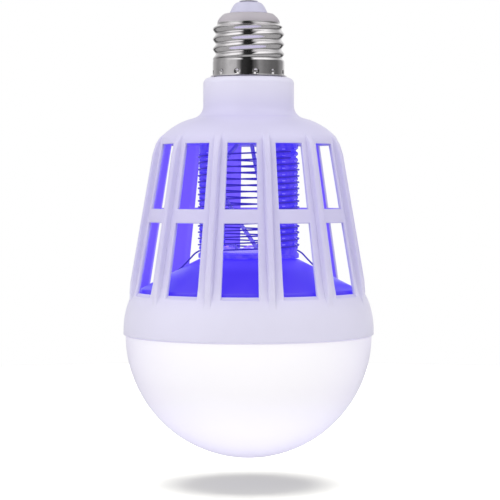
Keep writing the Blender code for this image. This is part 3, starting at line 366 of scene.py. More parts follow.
def metal(name, colour, gloss=0.12, ring_gloss=0.10, cloud_gloss=0.10, ring_scale=3000.0, depth=0.000004):
    """Drawn or plated metal, a little duller where the plate is cloudy."""
    material, tree, shader = start_material(name, metallic=1.0)
    drawn = place_group(material, drawn_metal, Gloss=gloss, Ring_Gloss=ring_gloss, Cloud_Gloss=cloud_gloss,
                        Ring_Scale=ring_scale)
    dull = tuple(CLOUD_DULLNESS * channel for channel in colour[:3]) + (1.0,)
    tree.links.new(blend_colours(tree, drawn.outputs["Cloud"], colour, dull), shader.inputs["Base Color"])
    tree.links.new(drawn.outputs["Roughness"], shader.inputs["Roughness"])
    add_bump(tree, shader, drawn.outputs["Height"], depth)
    return material


def drawn_shell(name, colour, crown_colour, crown_gloss, crown_low, crown_high, **looks):
    """The cap's shell: bright where it is rolled, and satin on its crown."""
    material = metal(name, colour, **looks)
    tree = material.node_tree
    shader = tree.nodes["Principled BSDF"]
    place = add_node(tree, "ShaderNodeTexCoord").outputs["Object"]
    height = add_node(tree, "ShaderNodeSeparateXYZ", {0: place}).outputs["Z"]
    crown = ramp_up(tree, height, crown_low, crown_high)
    bright = shader.inputs["Base Color"].links[0].from_socket
    tree.links.new(blend_colours(tree, crown, bright, crown_colour), shader.inputs["Base Color"])
    drawn = shader.inputs["Roughness"].links[0].from_socket
    rougher = sum_of(tree, "ADD", drawn, sum_of(tree, "MULTIPLY", crown, crown_gloss))
    tree.links.new(rougher, shader.inputs["Roughness"])
    return material


finishes["nickel"] = drawn_shell(
    "nickel_plating", screen(238, 235, 237), crown_colour=screen(250, 245, 251), crown_gloss=0.70,
    crown_low=-0.0086, crown_high=-0.0080, gloss=0.05, ring_gloss=0.04, cloud_gloss=0.05, depth=0.000001,
)
finishes["contact"] = metal(
    "tinned_contact", screen(252, 250, 255), gloss=0.76, ring_gloss=0.12, cloud_gloss=0.12,
)
finishes["aluminium"] = metal(
    "aluminium", screen(206, 208, 212), gloss=0.32, ring_gloss=0.12, ring_scale=1500.0,
)
print("finishes so far:", len(finishes))

# %% [markdown]
# ## Finishes: plastics in the violet light
# The cage is pale lavender outside, and the LEDs' violet light is painted on every face that looks
# at the coil. Its recipe places the violet-wash group twice: once for a painted violet tint where the
# light shines through near the coil, and once for the painted glow on the inner faces. The cone lies
# so close that it is painted as lit all over, and only its painted shade changes with the distance.
# The comb posts show soft patches of painted light, because the light reaches them through wires and teeth.

# %% Finishes: plastics in the violet light
PATCH_SCALE = 520.0
PATCH_EDGES = (0.86, 1.14)


def washed_plastic(name, colour, tint, violet, glow, strength, gloss, tint_values, **wash_values):
    """A moulded piece that the violet LEDs shine through and on: outside it takes a tint, inside a glow."""
    material, tree, shader, skin = plastic(name, colour, gloss)
    through = place_group(material, violet_wash, **tint_values)
    wash = place_group(material, violet_wash, **wash_values)
    tinted = blend_colours(tree, through.outputs["Nearness"], colour, tint)
    share = wash.outputs["Mask"]
    # Painted violet light: a tint outside near the coil, and a violet base and glow on the inner faces.
    base = blend_colours(tree, share, scaled(tree, tinted, skin.outputs["Shade"]), violet)
    tree.links.new(base, shader.inputs["Base Color"])
    add_glow(tree, shader, blend_colours(tree, share, BLACK, glow), strength)
    return material


def lit_plastic(name, near_colour, far_colour, near_glow, far_glow, strength, gloss=0.34, **wash_values):
    """A moulded piece close to the violet LEDs: lit all over, in another shade where it is nearer."""
    material, tree, shader, skin = plastic(name, near_colour, gloss)
    share = place_group(material, violet_wash, **wash_values).outputs["Nearness"]
    base = scaled(tree, blend_colours(tree, share, far_colour, near_colour), skin.outputs["Shade"])
    tree.links.new(base, shader.inputs["Base Color"])
    add_glow(tree, shader, blend_colours(tree, share, far_glow, near_glow), strength)
    return material


def patchily_lit_plastic(name, base, dark_glow, pale_glow, strength):
    """The comb posts: light that comes through wires and teeth is painted on them as soft patches of glow."""
    material, tree, shader, _ = plastic(name, base, gloss=0.34, drift=0.10, drift_scale=300.0)
    patches = place_group(material, moulded_skin, Drift_Scale=PATCH_SCALE, Drift=1.0)
    share = ramp_up(tree, patches.outputs["Shade"], *PATCH_EDGES)
    add_glow(tree, shader, blend_colours(tree, share, dark_glow, pale_glow), strength)
    return material


def glowing_plastic(name, base, glow, strength):
    """A small piece right beside the violet LEDs: lit all over, a little unevenly."""
    material, tree, shader, skin = plastic(name, base, gloss=0.34)
    add_glow(tree, shader, scaled(tree, glow, skin.outputs["Shade"]), strength)
    return material


LAVENDER = screen(224, 221, 241)
finishes["cage"] = washed_plastic(
    "lavender_moulding", LAVENDER, tint=screen(208, 203, 237), violet=screen(134, 114, 222),
    glow=screen(115, 90, 218), strength=0.66, gloss=0.36, tint_values={"Near": 0.040, "Far": 0.056},
    Near=0.034, Far=0.066, Facing_Low=0.45, Facing_High=0.85,
)
finishes["cone"] = lit_plastic(
    "cone_moulding", near_colour=screen(94, 80, 184), far_colour=screen(72, 58, 150),
    near_glow=screen(60, 42, 212), far_glow=screen(60, 42, 226), strength=0.74,
    Middle_Height=-0.0900, Near=0.0215, Far=0.0290,
)
finishes["coil"] = patchily_lit_plastic(
    "coil_moulding", screen(80, 66, 190), dark_glow=screen(50, 36, 214), pale_glow=screen(92, 72, 214),
    strength=0.62,
)
# Painted violet light: the comb's teeth and the white board glow in the LEDs' light.
finishes["teeth"] = glowing_plastic(
    "comb_teeth", screen(150, 140, 224), glow=screen(112, 100, 224), strength=0.62,
)
finishes["lit_board"] = glowing_plastic(
    "violet_circuit_board", screen(232, 230, 244), glow=screen(120, 104, 232), strength=0.5,
)
print("finishes so far:", len(finishes))

# %% [markdown]
# ## Finishes: wires and LEDs
# The bare wires stand all round the violet LEDs, so they mirror the room and a little violet as
# well. An LED's lens is brightest by far, and if it were as bright here as it is in life, it would
# only be a white spot. So it shines just enough to read as lit, unevenly, as a clear lens over a
# small chip does.

# %% Finishes: wires and LEDs
def lit_wire(name, colour, glow, strength):
    """Bare wire all round the violet LEDs, which mirrors a little of their light."""
    material = metal(name, colour, gloss=0.26, ring_gloss=0.12, cloud_gloss=0.05)
    skin = place_group(material, moulded_skin, Drift=0.5, Drift_Scale=260.0)
    tree = material.node_tree
    # The violet that the wire mirrors is painted in, as a violet tint and a faint glow.
    add_glow(tree, tree.nodes["Principled BSDF"], scaled(tree, glow, skin.outputs["Shade"]), strength)
    return material


def lit_lens(name, colour, glow, strength):
    """An LED's lens, lit from the chip under it."""
    material, tree, shader, _ = plastic(name, colour, gloss=0.15, drift=0.3, drift_scale=900.0)
    skin = place_group(material, moulded_skin, Drift=0.6, Drift_Scale=1500.0)
    add_glow(tree, shader, scaled(tree, glow, skin.outputs["Shade"]), strength)
    return material


finishes["wire"] = lit_wire("bare_steel", screen(90, 82, 140), screen(54, 42, 172), 0.75)
finishes["violet_lens"] = lit_lens("violet_led", screen(150, 120, 255), screen(130, 100, 255), 1.6)
finishes["white_lens"] = lit_lens("white_led", screen(250, 236, 170), screen(255, 250, 235), 1.0)
print("finishes so far:", len(finishes))

# %% [markdown]
# ## Finish: opal dome
# The dome is a milky shell with white LEDs behind it. Lit, it is almost as bright as paper in its
# middle and a little darker towards its outline. Real light through a real volume would need many
# samples, so the dome keeps a pale base and shines a little by itself, more where it faces the
# floor and gets less light. A thin tinted coat does what the wall's thickness does on the real one:
# where the surface turns away, light crosses more of it and leaves a pale lavender edge, from
# whatever side it is seen.

# %% Finish: opal dome
OPAL_TINT = (0.86, 0.845, 0.96, 1.0)
OPAL_BASE = screen(219, 219, 210)
OPAL_FOOT_GLOW = screen(255, 255, 252)
OPAL_SIDE_GLOW = screen(190, 190, 180)
OPAL_GLOW_EDGES = (-1.00, -0.35)
OPAL_STRENGTH = 0.95


def opal(name):
    """Milky plastic with light behind it, and a tinted coat for its wall."""
    material, tree, shader, _ = plastic(
        name, OPAL_BASE, gloss=0.38, drift=0.01, grain=1500.0, depth=0.00001,
        Coat_Weight=1.0, Coat_Roughness=0.30, Coat_IOR=1.15, Coat_Tint=OPAL_TINT,
    )
    normal = add_node(tree, "ShaderNodeNewGeometry").outputs["Normal"]
    facing = add_node(tree, "ShaderNodeSeparateXYZ", {0: normal}).outputs["Z"]
    off_foot = ramp_up(tree, facing, *OPAL_GLOW_EDGES)
    add_glow(tree, shader, blend_colours(tree, off_foot, OPAL_FOOT_GLOW, OPAL_SIDE_GLOW), OPAL_STRENGTH)
    return material


finishes["opal"] = opal("opal_plastic")
print("finishes:", ", ".join(sorted(finishes)))

# %% [markdown]
# ## Outlines and spun pieces
# Most of the lamp is round, so most pieces start as an outline of (radius, height) points that is
# spun round the axis. Heights run down from the contact's top face, and angles from the front (-Y)
# towards +X, in degrees. Real moulded edges are never knife sharp: `softened` swaps each corner for
# a small curve, and the edge then catches a line of light. A bevel modifier could do that too, but
# here each piece says how round its own edges are.

# %% Helpers: outlines
ON_AXIS = 1e-6
MOST_OF_A_SIDE = 0.45


def evenly(start, end, parts):
    """Values from start to end, in equal parts."""
    return [start + (end - start) * i / parts for i in range(parts + 1)]


def between(start, end, count):
    """Evenly spread values between start and end, without those two."""
    return evenly(start, end, count + 1)[1:-1]


def spot(angle, radius, height):
    """The point at an angle from the front, a radius from the axis and a height."""
    turn = math.radians(angle)
    return Vector((radius * math.sin(turn), -radius * math.cos(turn), height))


def arc(centre, radius, start, end, steps):
    """Points of an arc in the outline's plane."""
    turns = [math.radians(turn) for turn in evenly(start, end, steps)]
    return [(centre[0] + radius * math.cos(turn), centre[1] + radius * math.sin(turn)) for turn in turns]


def softened(outline, reach, steps=4):
    """A closed outline with each corner off the axis replaced by a small curve."""
    soft = []
    count = len(outline)
    for i in range(count):
        here = Vector(outline[i])
        if here.x < ON_AXIS:
            soft.append(tuple(here))
            continue
        sides = [Vector(outline[i - 1]) - here, Vector(outline[(i + 1) % count]) - here]
        one, two = [here + side.normalized() * min(reach, MOST_OF_A_SIDE * side.length) for side in sides]
        for t in evenly(0.0, 1.0, steps):
            soft.append(tuple((1 - t) ** 2 * one + 2 * t * (1 - t) * here + t**2 * two))
    return soft


square = [(0.01, 0.0), (0.01, 0.01), (0.02, 0.01), (0.02, 0.0)]
print("a square's four corners become", len(softened(square, 0.001)), "points")

# %% [markdown]
# ## From outline to piece
# A screw modifier could spin an outline. A ring of points for each outline point does the same and
# keeps full control of how many faces there are, and the thread, the combs and the cage need rings
# that aren't round. Where an outline touches the axis its ring is a single point, and the faces
# there close to a fan. Each finished piece rides on the lamp's one body and says which CAD nodes it
# stands for.

# %% Helpers: rings, meshes and pieces
def join_rings(shape, rings, closed=True):
    """Faces between neighbouring rings, and between the last and the first when the section is closed."""
    steps = max(len(ring) for ring in rings)
    faces = []
    for low, high in zip(rings, rings[1:] + rings[:1] if closed else rings[1:]):
        for i in range(steps):
            k = (i + 1) % steps
            corners = [low[i % len(low)], low[k % len(low)], high[k % len(high)], high[i % len(high)]]
            corners = list(dict.fromkeys(corners))
            if len(corners) > 2:
                faces.append(shape.faces.new(corners))
    return faces


def add_spun(shape, outline, steps):
    """Spins a closed outline into a shape."""
    rings = []
    for radius, height in outline:
        count = 1 if radius < ON_AXIS else steps
        rings.append([shape.verts.new(spot(360 * i / steps, radius, height)) for i in range(count)])
    join_rings(shape, rings)


def finished_mesh(name, shape, sharp=40.0):
    """The shape as a mesh, smooth but for edges that turn more than sharp, in degrees."""
    bmesh.ops.recalc_face_normals(shape, faces=shape.faces)
    mesh = bpy.data.meshes.new(name)
    shape.to_mesh(mesh)
    shape.free()
    mesh.shade_smooth()
    mesh.set_sharp_from_angle(angle=math.radians(sharp))
    return mesh


def add_piece(name, data, finish, slot, *nodes):
    """Puts a mesh or curve in the scene in the place of the CAD nodes that it stands for."""
    piece = bpy.data.objects.new(name, data)
    bpy.context.scene.collection.objects.link(piece)
    for one in ([finish] if isinstance(finish, bpy.types.Material) else finish):
        data.materials.append(one)
    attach(piece, "root")
    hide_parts(*nodes)
    return piece


def spun_piece(name, outline, steps, finish, slot, *nodes):
    """A piece that is one spun outline."""
    shape = bmesh.new()
    add_spun(shape, outline, steps)
    return add_piece(name, finished_mesh(name, shape), finish, slot, *nodes)


sample = bmesh.new()
add_spun(sample, square, 12)
print("a square spun in 12 steps has", len(sample.faces), "faces")
sample.free()

# %% [markdown]
# ## Cap: sizes
# The cap is a plain E27 one, the same on every lamp that has it, so its sizes are well known. The
# CAD part was made from named sizes, and a detailed piece has to lie on the same ones. So they are
# repeated here in metres, ahead of the first piece that needs them. Between any two pieces the CAD
# part leaves the same small clearance, SEAT_GAP.

# %% Cap: sizes
SEAT_GAP = 0.0003
CONTACT_RADIUS = 0.0036
CONTACT_HEIGHT = 0.0006
CONTACT_STEM_RADIUS = 0.0010
CONTACT_STEM_LENGTH = 0.0078
INSULATOR_FOOT_RADIUS = 0.0071
INSULATOR_FLANGE_RADIUS = 0.0086
INSULATOR_FLANGE_HEIGHT = 0.0014
CROWN_TOP = -0.0048
THREAD_TOP = -0.0081
THREAD_FOOT = -0.0213
SHELL_FOOT = -0.0280
CROWN_RADIUS = 0.0116
THREAD_RADIUS = 0.01315
THREAD_DEPTH = 0.00105
THREAD_PITCH = 0.003629
SKIRT_RADIUS = 0.0132
SHELL_WALL = 0.0004
FLANGE_RADIUS = 0.0140
FLANGE_HEIGHT = 0.0004
print("cap height:", round(-SHELL_FOOT * 1000, 1), "mm")

# %% [markdown]
# ## Cap: contact
# The contact is a tinned button at the lamp's very end, with a stem that goes down through the
# insulator. Solder runs to a low dome, so the outline's top is a flat curve, and the origin of the
# whole model is its highest point.

# %% Cap: contact
CAP_STEPS = 96
CONTACT_DOME = ((0.0, 0.0), (0.0014, -0.00003), (0.0024, -0.00009), (0.0031, -0.00018))
CONTACT_SOFTNESS = 0.0003
contact_foot = -CONTACT_HEIGHT + SEAT_GAP
contact_outline = [
    *CONTACT_DOME, (CONTACT_RADIUS, contact_foot), (CONTACT_STEM_RADIUS, contact_foot),
    (CONTACT_STEM_RADIUS, -CONTACT_STEM_LENGTH), (0.0, -CONTACT_STEM_LENGTH),
]
contact = spun_piece("contact_button", softened(contact_outline, CONTACT_SOFTNESS), CAP_STEPS,
                     finishes["contact"], "nickel_plate", "centre_contact")
print("contact:", len(contact.data.polygons), "faces")

# %% [markdown]
# ## Cap: insulator
# The pale insulator carries the contact. Its flank is not a straight cone: it swells out from under
# the button and runs down into the metal crown, which holds it by a flange that doesn't show. Four
# points give the swell, and wide soft corners join them to one curve.

# %% Cap: insulator
INSULATOR_FLANK = ((0.0038, -CONTACT_HEIGHT), (0.0051, -0.0012), (0.0059, -0.0024), (0.0066, -0.0038))
INSULATOR_SOFTNESS = 0.0008
insulator_bore = CONTACT_STEM_RADIUS + SEAT_GAP
insulator_flange = CROWN_TOP - SHELL_WALL - SEAT_GAP
insulator_outline = [
    (insulator_bore, -CONTACT_HEIGHT), *INSULATOR_FLANK, (INSULATOR_FOOT_RADIUS, CROWN_TOP),
    (INSULATOR_FOOT_RADIUS, insulator_flange), (INSULATOR_FLANGE_RADIUS, insulator_flange),
    (INSULATOR_FLANGE_RADIUS, insulator_flange - INSULATOR_FLANGE_HEIGHT),
    (insulator_bore, insulator_flange - INSULATOR_FLANGE_HEIGHT),
]
insulator = spun_piece("insulator_cone", softened(insulator_outline, INSULATOR_SOFTNESS), CAP_STEPS,
                       finishes["insulator"], "insulator_plastic", "cap_insulator")
print("insulator:", len(insulator.data.polygons), "faces")

# %% [markdown]
# ## Cap: thread and crimps
# The shell is one drawn sheet: a crown, a rolled thread, a plain skirt with twelve crimps that hold
# it on the neck, and a narrow flange. A texture can't make this thread, because its ridges show in
# the outline. So the shell is a fine grid of points, and each one's radius is worked out from its
# angle and height. A cosine that climbs one pitch a turn gives a thread, but with flanks that are
# too round for a rolled one. Its arcsine straightens them: at a flatness of 1 it would be a sharp
# zigzag, and near 0 a plain cosine again. The rolled part starts and ends a little lower than in
# the CAD part, as on the real cap. It runs into the crown at its top and fades out at its foot.

# %% Cap: thread and crimps
ROLLED_TOP = THREAD_TOP - 0.0007
ROLLED_FOOT = THREAD_FOOT - 0.0012
RUN_IN = 0.0012
RUN_OUT = 0.0018
THREAD_TURN = 114.0
FLANK_FLATNESS = 0.80
CRIMP_COUNT = 12
CRIMP_HEIGHT = -0.0265
CRIMP_RADIUS = 0.00115
CRIMP_DEPTH = 0.00055
CRIMP_TURN = 15.5


def eased(value):
    """A smooth step: 0 up to 0, and 1 from 1 on."""
    value = min(1.0, max(0.0, value))
    return value * value * (3 - 2 * value)


def thread_dip(angle, height):
    """How far the thread lies below its crest, from 0 to 1."""
    wave = math.cos(2 * math.pi * height / THREAD_PITCH - math.radians(angle + THREAD_TURN))
    crest = 0.5 + 0.5 * math.asin(FLANK_FLATNESS * wave) / math.asin(FLANK_FLATNESS)
    return (1 - crest) * eased((height - ROLLED_FOOT) / RUN_OUT)


def crimp_dip(angle, height):
    """How deep a crimp is pressed in, from 0 to 1."""
    pitch = 360 / CRIMP_COUNT
    turn = (angle - CRIMP_TURN + pitch / 2) % pitch - pitch / 2
    away = math.hypot(math.radians(turn) * SKIRT_RADIUS, height - CRIMP_HEIGHT)
    return 1 - eased(away / CRIMP_RADIUS)


def shell_radius(angle, radius, height):
    """The shell's radius at a point whose outline has this radius and height."""
    if ROLLED_FOOT <= height <= ROLLED_TOP:
        threaded = radius - THREAD_DEPTH * thread_dip(angle, height)
        share = eased((height - ROLLED_TOP + RUN_IN) / RUN_IN)
        return threaded + (CROWN_RADIUS - threaded) * share
    if height < ROLLED_FOOT and radius <= SKIRT_RADIUS:
        return radius - CRIMP_DEPTH * crimp_dip(angle, height)
    return radius


print("turns of the thread:", round((ROLLED_TOP - ROLLED_FOOT) / THREAD_PITCH, 1))

# %% [markdown]
# ## Cap: screw shell
# The sheet's outline runs up the outside from the flange to the hole in the crown, and back down
# the inside. The crown's curve was read off the object's outline. About thirty rows to a turn keep
# the thread's ridges smooth.

# %% Cap: screw shell
SHELL_STEPS = 288
THREAD_ROWS = 110
THREAD_ROWS_INSIDE = 52
SKIRT_ROWS = 25
SKIRT_RUN = 0.0010
SHEET_EDGE = 0.0001
CROWN_HOLE = INSULATOR_FOOT_RADIUS + SEAT_GAP
CROWN_OUTSIDE = (
    (0.01152, -0.0083), (0.01137, -0.0078), (0.01112, -0.0072), (0.01075, -0.0066), (0.01030, -0.0061),
    (0.00985, -0.0057), (0.00940, -0.0053), (0.0089, CROWN_TOP - 0.00018), (0.0082, CROWN_TOP - 0.00005),
    (0.0078, CROWN_TOP), (CROWN_HOLE, CROWN_TOP - SHEET_EDGE),
)
CROWN_INSIDE = (
    (CROWN_HOLE, CROWN_TOP - SHELL_WALL), (0.0089, CROWN_TOP - SHELL_WALL - 0.0002), (0.0106, -0.0073),
    (0.0110, -0.0082),
)


def shell_outside():
    """(radius, height) from the flange's foot up to the crown's hole."""
    flange_top = SHELL_FOOT + FLANGE_HEIGHT
    rows = [
        (FLANGE_RADIUS - SHEET_EDGE, SHELL_FOOT), (FLANGE_RADIUS, SHELL_FOOT + SHEET_EDGE),
        (FLANGE_RADIUS, flange_top - SHEET_EDGE), (FLANGE_RADIUS - SHEET_EDGE, flange_top),
        (SKIRT_RADIUS + SHEET_EDGE, flange_top), (SKIRT_RADIUS, flange_top + SHEET_EDGE),
    ]
    rows += [(SKIRT_RADIUS, height) for height in between(flange_top + SHEET_EDGE, ROLLED_FOOT, SKIRT_ROWS)]
    rows += [(THREAD_RADIUS, height) for height in evenly(ROLLED_FOOT, ROLLED_TOP, THREAD_ROWS)]
    return rows + list(CROWN_OUTSIDE)


def shell_inside():
    """(radius, height) from the crown's hole down to the flange's foot."""
    heights = evenly(ROLLED_TOP, ROLLED_FOOT, THREAD_ROWS_INSIDE)
    rows = list(CROWN_INSIDE) + [(THREAD_RADIUS - SHELL_WALL, height) for height in heights]
    return rows + [(SKIRT_RADIUS - SHELL_WALL, height) for height in (ROLLED_FOOT - SKIRT_RUN, SHELL_FOOT)]


def shell_ring(shape, radius, height, thinner=0.0):
    """A ring of points of the shell, with thread, crimps or neither by its height."""
    ring = []
    for i in range(SHELL_STEPS):
        turn = 360 * i / SHELL_STEPS
        ring.append(shape.verts.new(spot(turn, shell_radius(turn, radius, height) - thinner, height)))
    return ring


def make_shell():
    shape = bmesh.new()
    rings = [shell_ring(shape, radius, height) for radius, height in shell_outside()]
    for radius, height in shell_inside():
        # The run-in pulls its top row to the crown's own radius, so that row is set back by the wall here.
        rings.append(shell_ring(shape, radius, height, SHELL_WALL if height == ROLLED_TOP else 0.0))
    join_rings(shape, rings)
    return add_piece("screw_cap_shell", finished_mesh("screw_cap_shell", shape), finishes["nickel"],
                     "nickel_plate", "screw_shell")


shell = make_shell()
print("screw shell:", len(shell.data.polygons), "faces")

# %% [markdown]
# ## Cage: sizes
# Neck, shoulder, bars, ring and collar are one pale lavender moulding. It has twelve equal bars and
# two tiers of windows, and the cage widens towards its foot. These are the CAD part's sizes again.

# %% Cage: sizes
SPIGOT_WALL = 0.0017
NECK_TOP = SHELL_FOOT - SEAT_GAP
NECK_CORNER = 0.0022
NECK_RADIUS = 0.01665
NECK_FILLET = 0.0047
SHOULDER_CROWN = 0.0240
SHOULDER_CORNER = 0.0040
SHOULDER_CORNER_TILT = 45.0
SHOULDER_EDGE_HEIGHT = 0.0012
HOUSING_WALL = 0.0022
CAGE_TOP_RADIUS = 0.0329
CAGE_FOOT_RADIUS = 0.0424
BAR_COUNT = 12
WINDOW_ANGLE = 18.0
HALF_BAR = 180 / BAR_COUNT - WINDOW_ANGLE / 2
WINDOW_TOP = -0.0528
RING_TOP = -0.0761
RING_FOOT = -0.0811
WINDOW_FOOT = -0.1067
SILL_DROP = 0.0008
BEAD_WIDTH = 0.0025
BEAD_HEIGHT = 0.0020
COLLAR_RADIUS = 0.0460
COLLAR_HEIGHT = 0.0156
COLLAR_FLARE = 2.5
COLLAR_WALL = 0.0017
COLLAR_FOOT = WINDOW_FOOT - COLLAR_HEIGHT
LEDGE = WINDOW_FOOT - 0.0040
SINK_RIM_TOP = -0.1128
SINK_FOOT = -0.1168
print("cage height:", round((NECK_TOP - COLLAR_FOOT) * 1000, 1), "mm")

# %% [markdown]
# ## Cage: the wall's shape
# Cutting twenty-four windows out of a spun shell with Booleans leaves long thin faces that shade
# badly. Here the shell is a grid from the start: rows follow its section, and columns follow the
# bars. The section needs three shapes. The wall is straight and leans outwards, the collar flares
# by a power of its height, and the shoulder is a tight arc, a wide arc and a fillet, which meet
# without a kink.

# %% Cage: wall, collar and shoulder
def cage_radius(height):
    """The outside of the barred wall at a height."""
    share = (WINDOW_TOP - height) / (WINDOW_TOP - WINDOW_FOOT)
    return CAGE_TOP_RADIUS + share * (CAGE_FOOT_RADIUS - CAGE_TOP_RADIUS)


def collar_radius(height):
    """The outside of the flared collar at a height."""
    share = max(0.0, (height - COLLAR_FOOT) / COLLAR_HEIGHT)
    return COLLAR_RADIUS - (COLLAR_RADIUS - CAGE_FOOT_RADIUS) * share**COLLAR_FLARE


def shoulder_outline(steps=(7, 12, 8)):
    """Corner arc, crown arc and fillet from the wall's top edge up to the neck."""
    wall_tilt = math.degrees(math.atan2(WINDOW_TOP - WINDOW_FOOT, CAGE_FOOT_RADIUS - CAGE_TOP_RADIUS))
    edge = WINDOW_TOP + SHOULDER_EDGE_HEIGHT
    start = math.radians(wall_tilt)
    centre = (cage_radius(edge) - SHOULDER_CORNER * math.sin(start), edge - SHOULDER_CORNER * math.cos(start))
    corner = arc(centre, SHOULDER_CORNER, 90 - wall_tilt, 90 - SHOULDER_CORNER_TILT, steps[0])
    tilt = math.radians(SHOULDER_CORNER_TILT)
    radius, height = corner[-1]
    centre = (radius - SHOULDER_CROWN * math.sin(tilt), height - SHOULDER_CROWN * math.cos(tilt))
    reach = (NECK_RADIUS + NECK_FILLET - centre[0]) / (SHOULDER_CROWN + NECK_FILLET)
    end_tilt = math.degrees(math.asin(reach))
    crown = arc(centre, SHOULDER_CROWN, 90 - SHOULDER_CORNER_TILT, 90 - end_tilt, steps[1])
    lift = NECK_FILLET * math.cos(math.radians(end_tilt))
    fillet = arc((NECK_RADIUS + NECK_FILLET, crown[-1][1] + lift), NECK_FILLET, 270 - end_tilt, 180, steps[2])
    return corner, crown, fillet


print("points of the shoulder:", [len(part) for part in shoulder_outline()])

# %% [markdown]
# ## Cage: rows of the wall
# A moulded window has a small round on its edge, and that round is what catches the light. Rows
# that lie ever closer together beside each edge make room for it. All else between the windows
# needs only a few rows.

# %% Cage: rows of the wall
RING_ROWS = 3
TIER_ROWS = 5
EDGE_ROUND = 0.00040
EDGE_LINES = (0.0, 0.15, 0.5, 1.0)


def around_edge(height, way):
    """Row heights that round an edge, from the edge outwards when way is 1 or -1."""
    return [height + way * EDGE_ROUND * line for line in EDGE_LINES]


def wall_heights(foot):
    """Heights of the wall's rows from below the lower windows up to above the upper ones."""
    lower = around_edge(foot, -1)[::-1] + between(foot, RING_FOOT, TIER_ROWS) + around_edge(RING_FOOT, 1)
    ring = between(RING_FOOT + EDGE_ROUND, RING_TOP - EDGE_ROUND, RING_ROWS)
    upper = around_edge(RING_TOP, -1)[::-1] + between(RING_TOP, WINDOW_TOP, TIER_ROWS)
    return lower + ring + upper + around_edge(WINDOW_TOP, 1)


heights = wall_heights(WINDOW_FOOT - SILL_DROP)
print("rows of the wall:", len(heights))

# %% [markdown]
# ## Cage: the section
# The section is one closed outline: up the outside from the collar's foot to the spigot that the
# screw shell sits on, and down the inside. Each point also carries the number of its row in the
# wall, so that an outside row can find its partner inside, and the window cells can be told from
# the rest.

# %% Cage: the section
OFF_WALL = -1
COLLAR_EDGE = ((-0.00025, 0.0), (-0.00006, 0.00008))
COLLAR_FIRST_ROW = 0.0003
COLLAR_ROWS = 12
NECK_ROWS = 4
NECK_CORNER_STEPS = 8
spigot_radius = SKIRT_RADIUS - SHELL_WALL - SEAT_GAP - CRIMP_DEPTH
spigot_bore = spigot_radius - SPIGOT_WALL + CRIMP_DEPTH
spigot_top = THREAD_FOOT - SEAT_GAP
corner, crown, fillet = shoulder_outline()
shoulder = corner + crown[1:] + fillet[1:]


def inset(points, wall):
    """An open outline moved a wall's thickness inwards, square to its own run."""
    moved = []
    for i, (radius, height) in enumerate(points):
        before = points[max(0, i - 1)]
        after = points[min(len(points) - 1, i + 1)]
        run = Vector((after[0] - before[0], after[1] - before[1])).normalized()
        moved.append((radius - wall * abs(run.y), height - wall * abs(run.x)))
    return moved


def off_wall(points):
    """Points of the section that lie in no row of the wall."""
    return [(radius, height, OFF_WALL) for radius, height in points]


def cage_outside():
    """From the collar's foot up to the spigot, as (radius, height, row of the wall)."""
    collar = [COLLAR_FOOT + COLLAR_FIRST_ROW] + between(COLLAR_FOOT, heights[0], COLLAR_ROWS)
    neck = between(fillet[-1][1], NECK_TOP - NECK_CORNER, NECK_ROWS)
    centre = (NECK_RADIUS - NECK_CORNER, NECK_TOP - NECK_CORNER)
    neck_corner = arc(centre, NECK_CORNER, 0, 90, NECK_CORNER_STEPS)
    rows = off_wall((COLLAR_RADIUS + step, COLLAR_FOOT + lift) for step, lift in COLLAR_EDGE)
    rows += off_wall((collar_radius(height), height) for height in collar)
    rows += [((collar_radius if h < WINDOW_FOOT else cage_radius)(h), h, i) for i, h in enumerate(heights)]
    rows += off_wall(shoulder) + off_wall((NECK_RADIUS, height) for height in neck) + off_wall(neck_corner)
    return rows + off_wall([(spigot_radius, NECK_TOP), (spigot_radius, spigot_top)])


def cage_inside():
    """From the spigot down to the collar's foot, as (radius, height, row of the wall)."""
    neck_foot = NECK_TOP - HOUSING_WALL
    rows = off_wall([(spigot_bore, spigot_top), (spigot_bore, neck_foot)])
    rows += off_wall([(NECK_RADIUS - HOUSING_WALL, neck_foot)])
    rows += off_wall(inset(shoulder, HOUSING_WALL)[::-1][:-1])
    rows += [(cage_radius(h) - HOUSING_WALL, h, i) for i, h in enumerate(wall_heights(WINDOW_FOOT))][::-1]
    return rows + off_wall([
        (cage_radius(LEDGE) - HOUSING_WALL, LEDGE), (collar_radius(LEDGE) - COLLAR_WALL, LEDGE),
        (collar_radius(SINK_RIM_TOP) - COLLAR_WALL, SINK_RIM_TOP), (COLLAR_RADIUS - COLLAR_WALL, COLLAR_FOOT),
    ])


outside = cage_outside()
section = outside + cage_inside()
print("section:", len(outside), "points outside and", len(section) - len(outside), "inside")

# %% [markdown]
# ## Cage: beads and columns
# A bead runs down the middle of each bar. It stands about 2 mm proud and is 2.5 mm wide, with a
# nearly flat back, round shoulders and a shallow root on either side where it meets the bar. At its
# top it sinks into the curve of the shoulder, and at its foot into the collar. Ten columns from its
# middle outwards draw its cross-section, and the columns at a window's edge lie as close together
# as the rows there.

# %% Cage: beads and columns
BEAD_LINES = (0.0, 0.42, 0.68, 0.84, 0.93, 0.98, 1.03, 1.12, 1.26, 1.50)
BEAD_RISES = (1.0, 0.99, 0.95, 0.84, 0.66, 0.34, 0.02, -0.07, -0.04, 0.0)
BEAD_TOP = -0.0483
BEAD_TOP_FULL = -0.0552
BEAD_FOOT = -0.1108
BEAD_FOOT_FULL = -0.1052
LEAST_BEAD_CIRCLE = 0.0300
BAR_SHARE = 0.68
WINDOW_SHARES = (0.33, 0.66, 1.0)


def bead_share(height):
    """How much of the bead stands at a height: none in shoulder and collar, all of it along the windows."""
    if height > BEAD_TOP_FULL:
        return 1 - eased((height - BEAD_TOP_FULL) / (BEAD_TOP - BEAD_TOP_FULL))
    return eased((height - BEAD_FOOT) / (BEAD_FOOT_FULL - BEAD_FOOT))


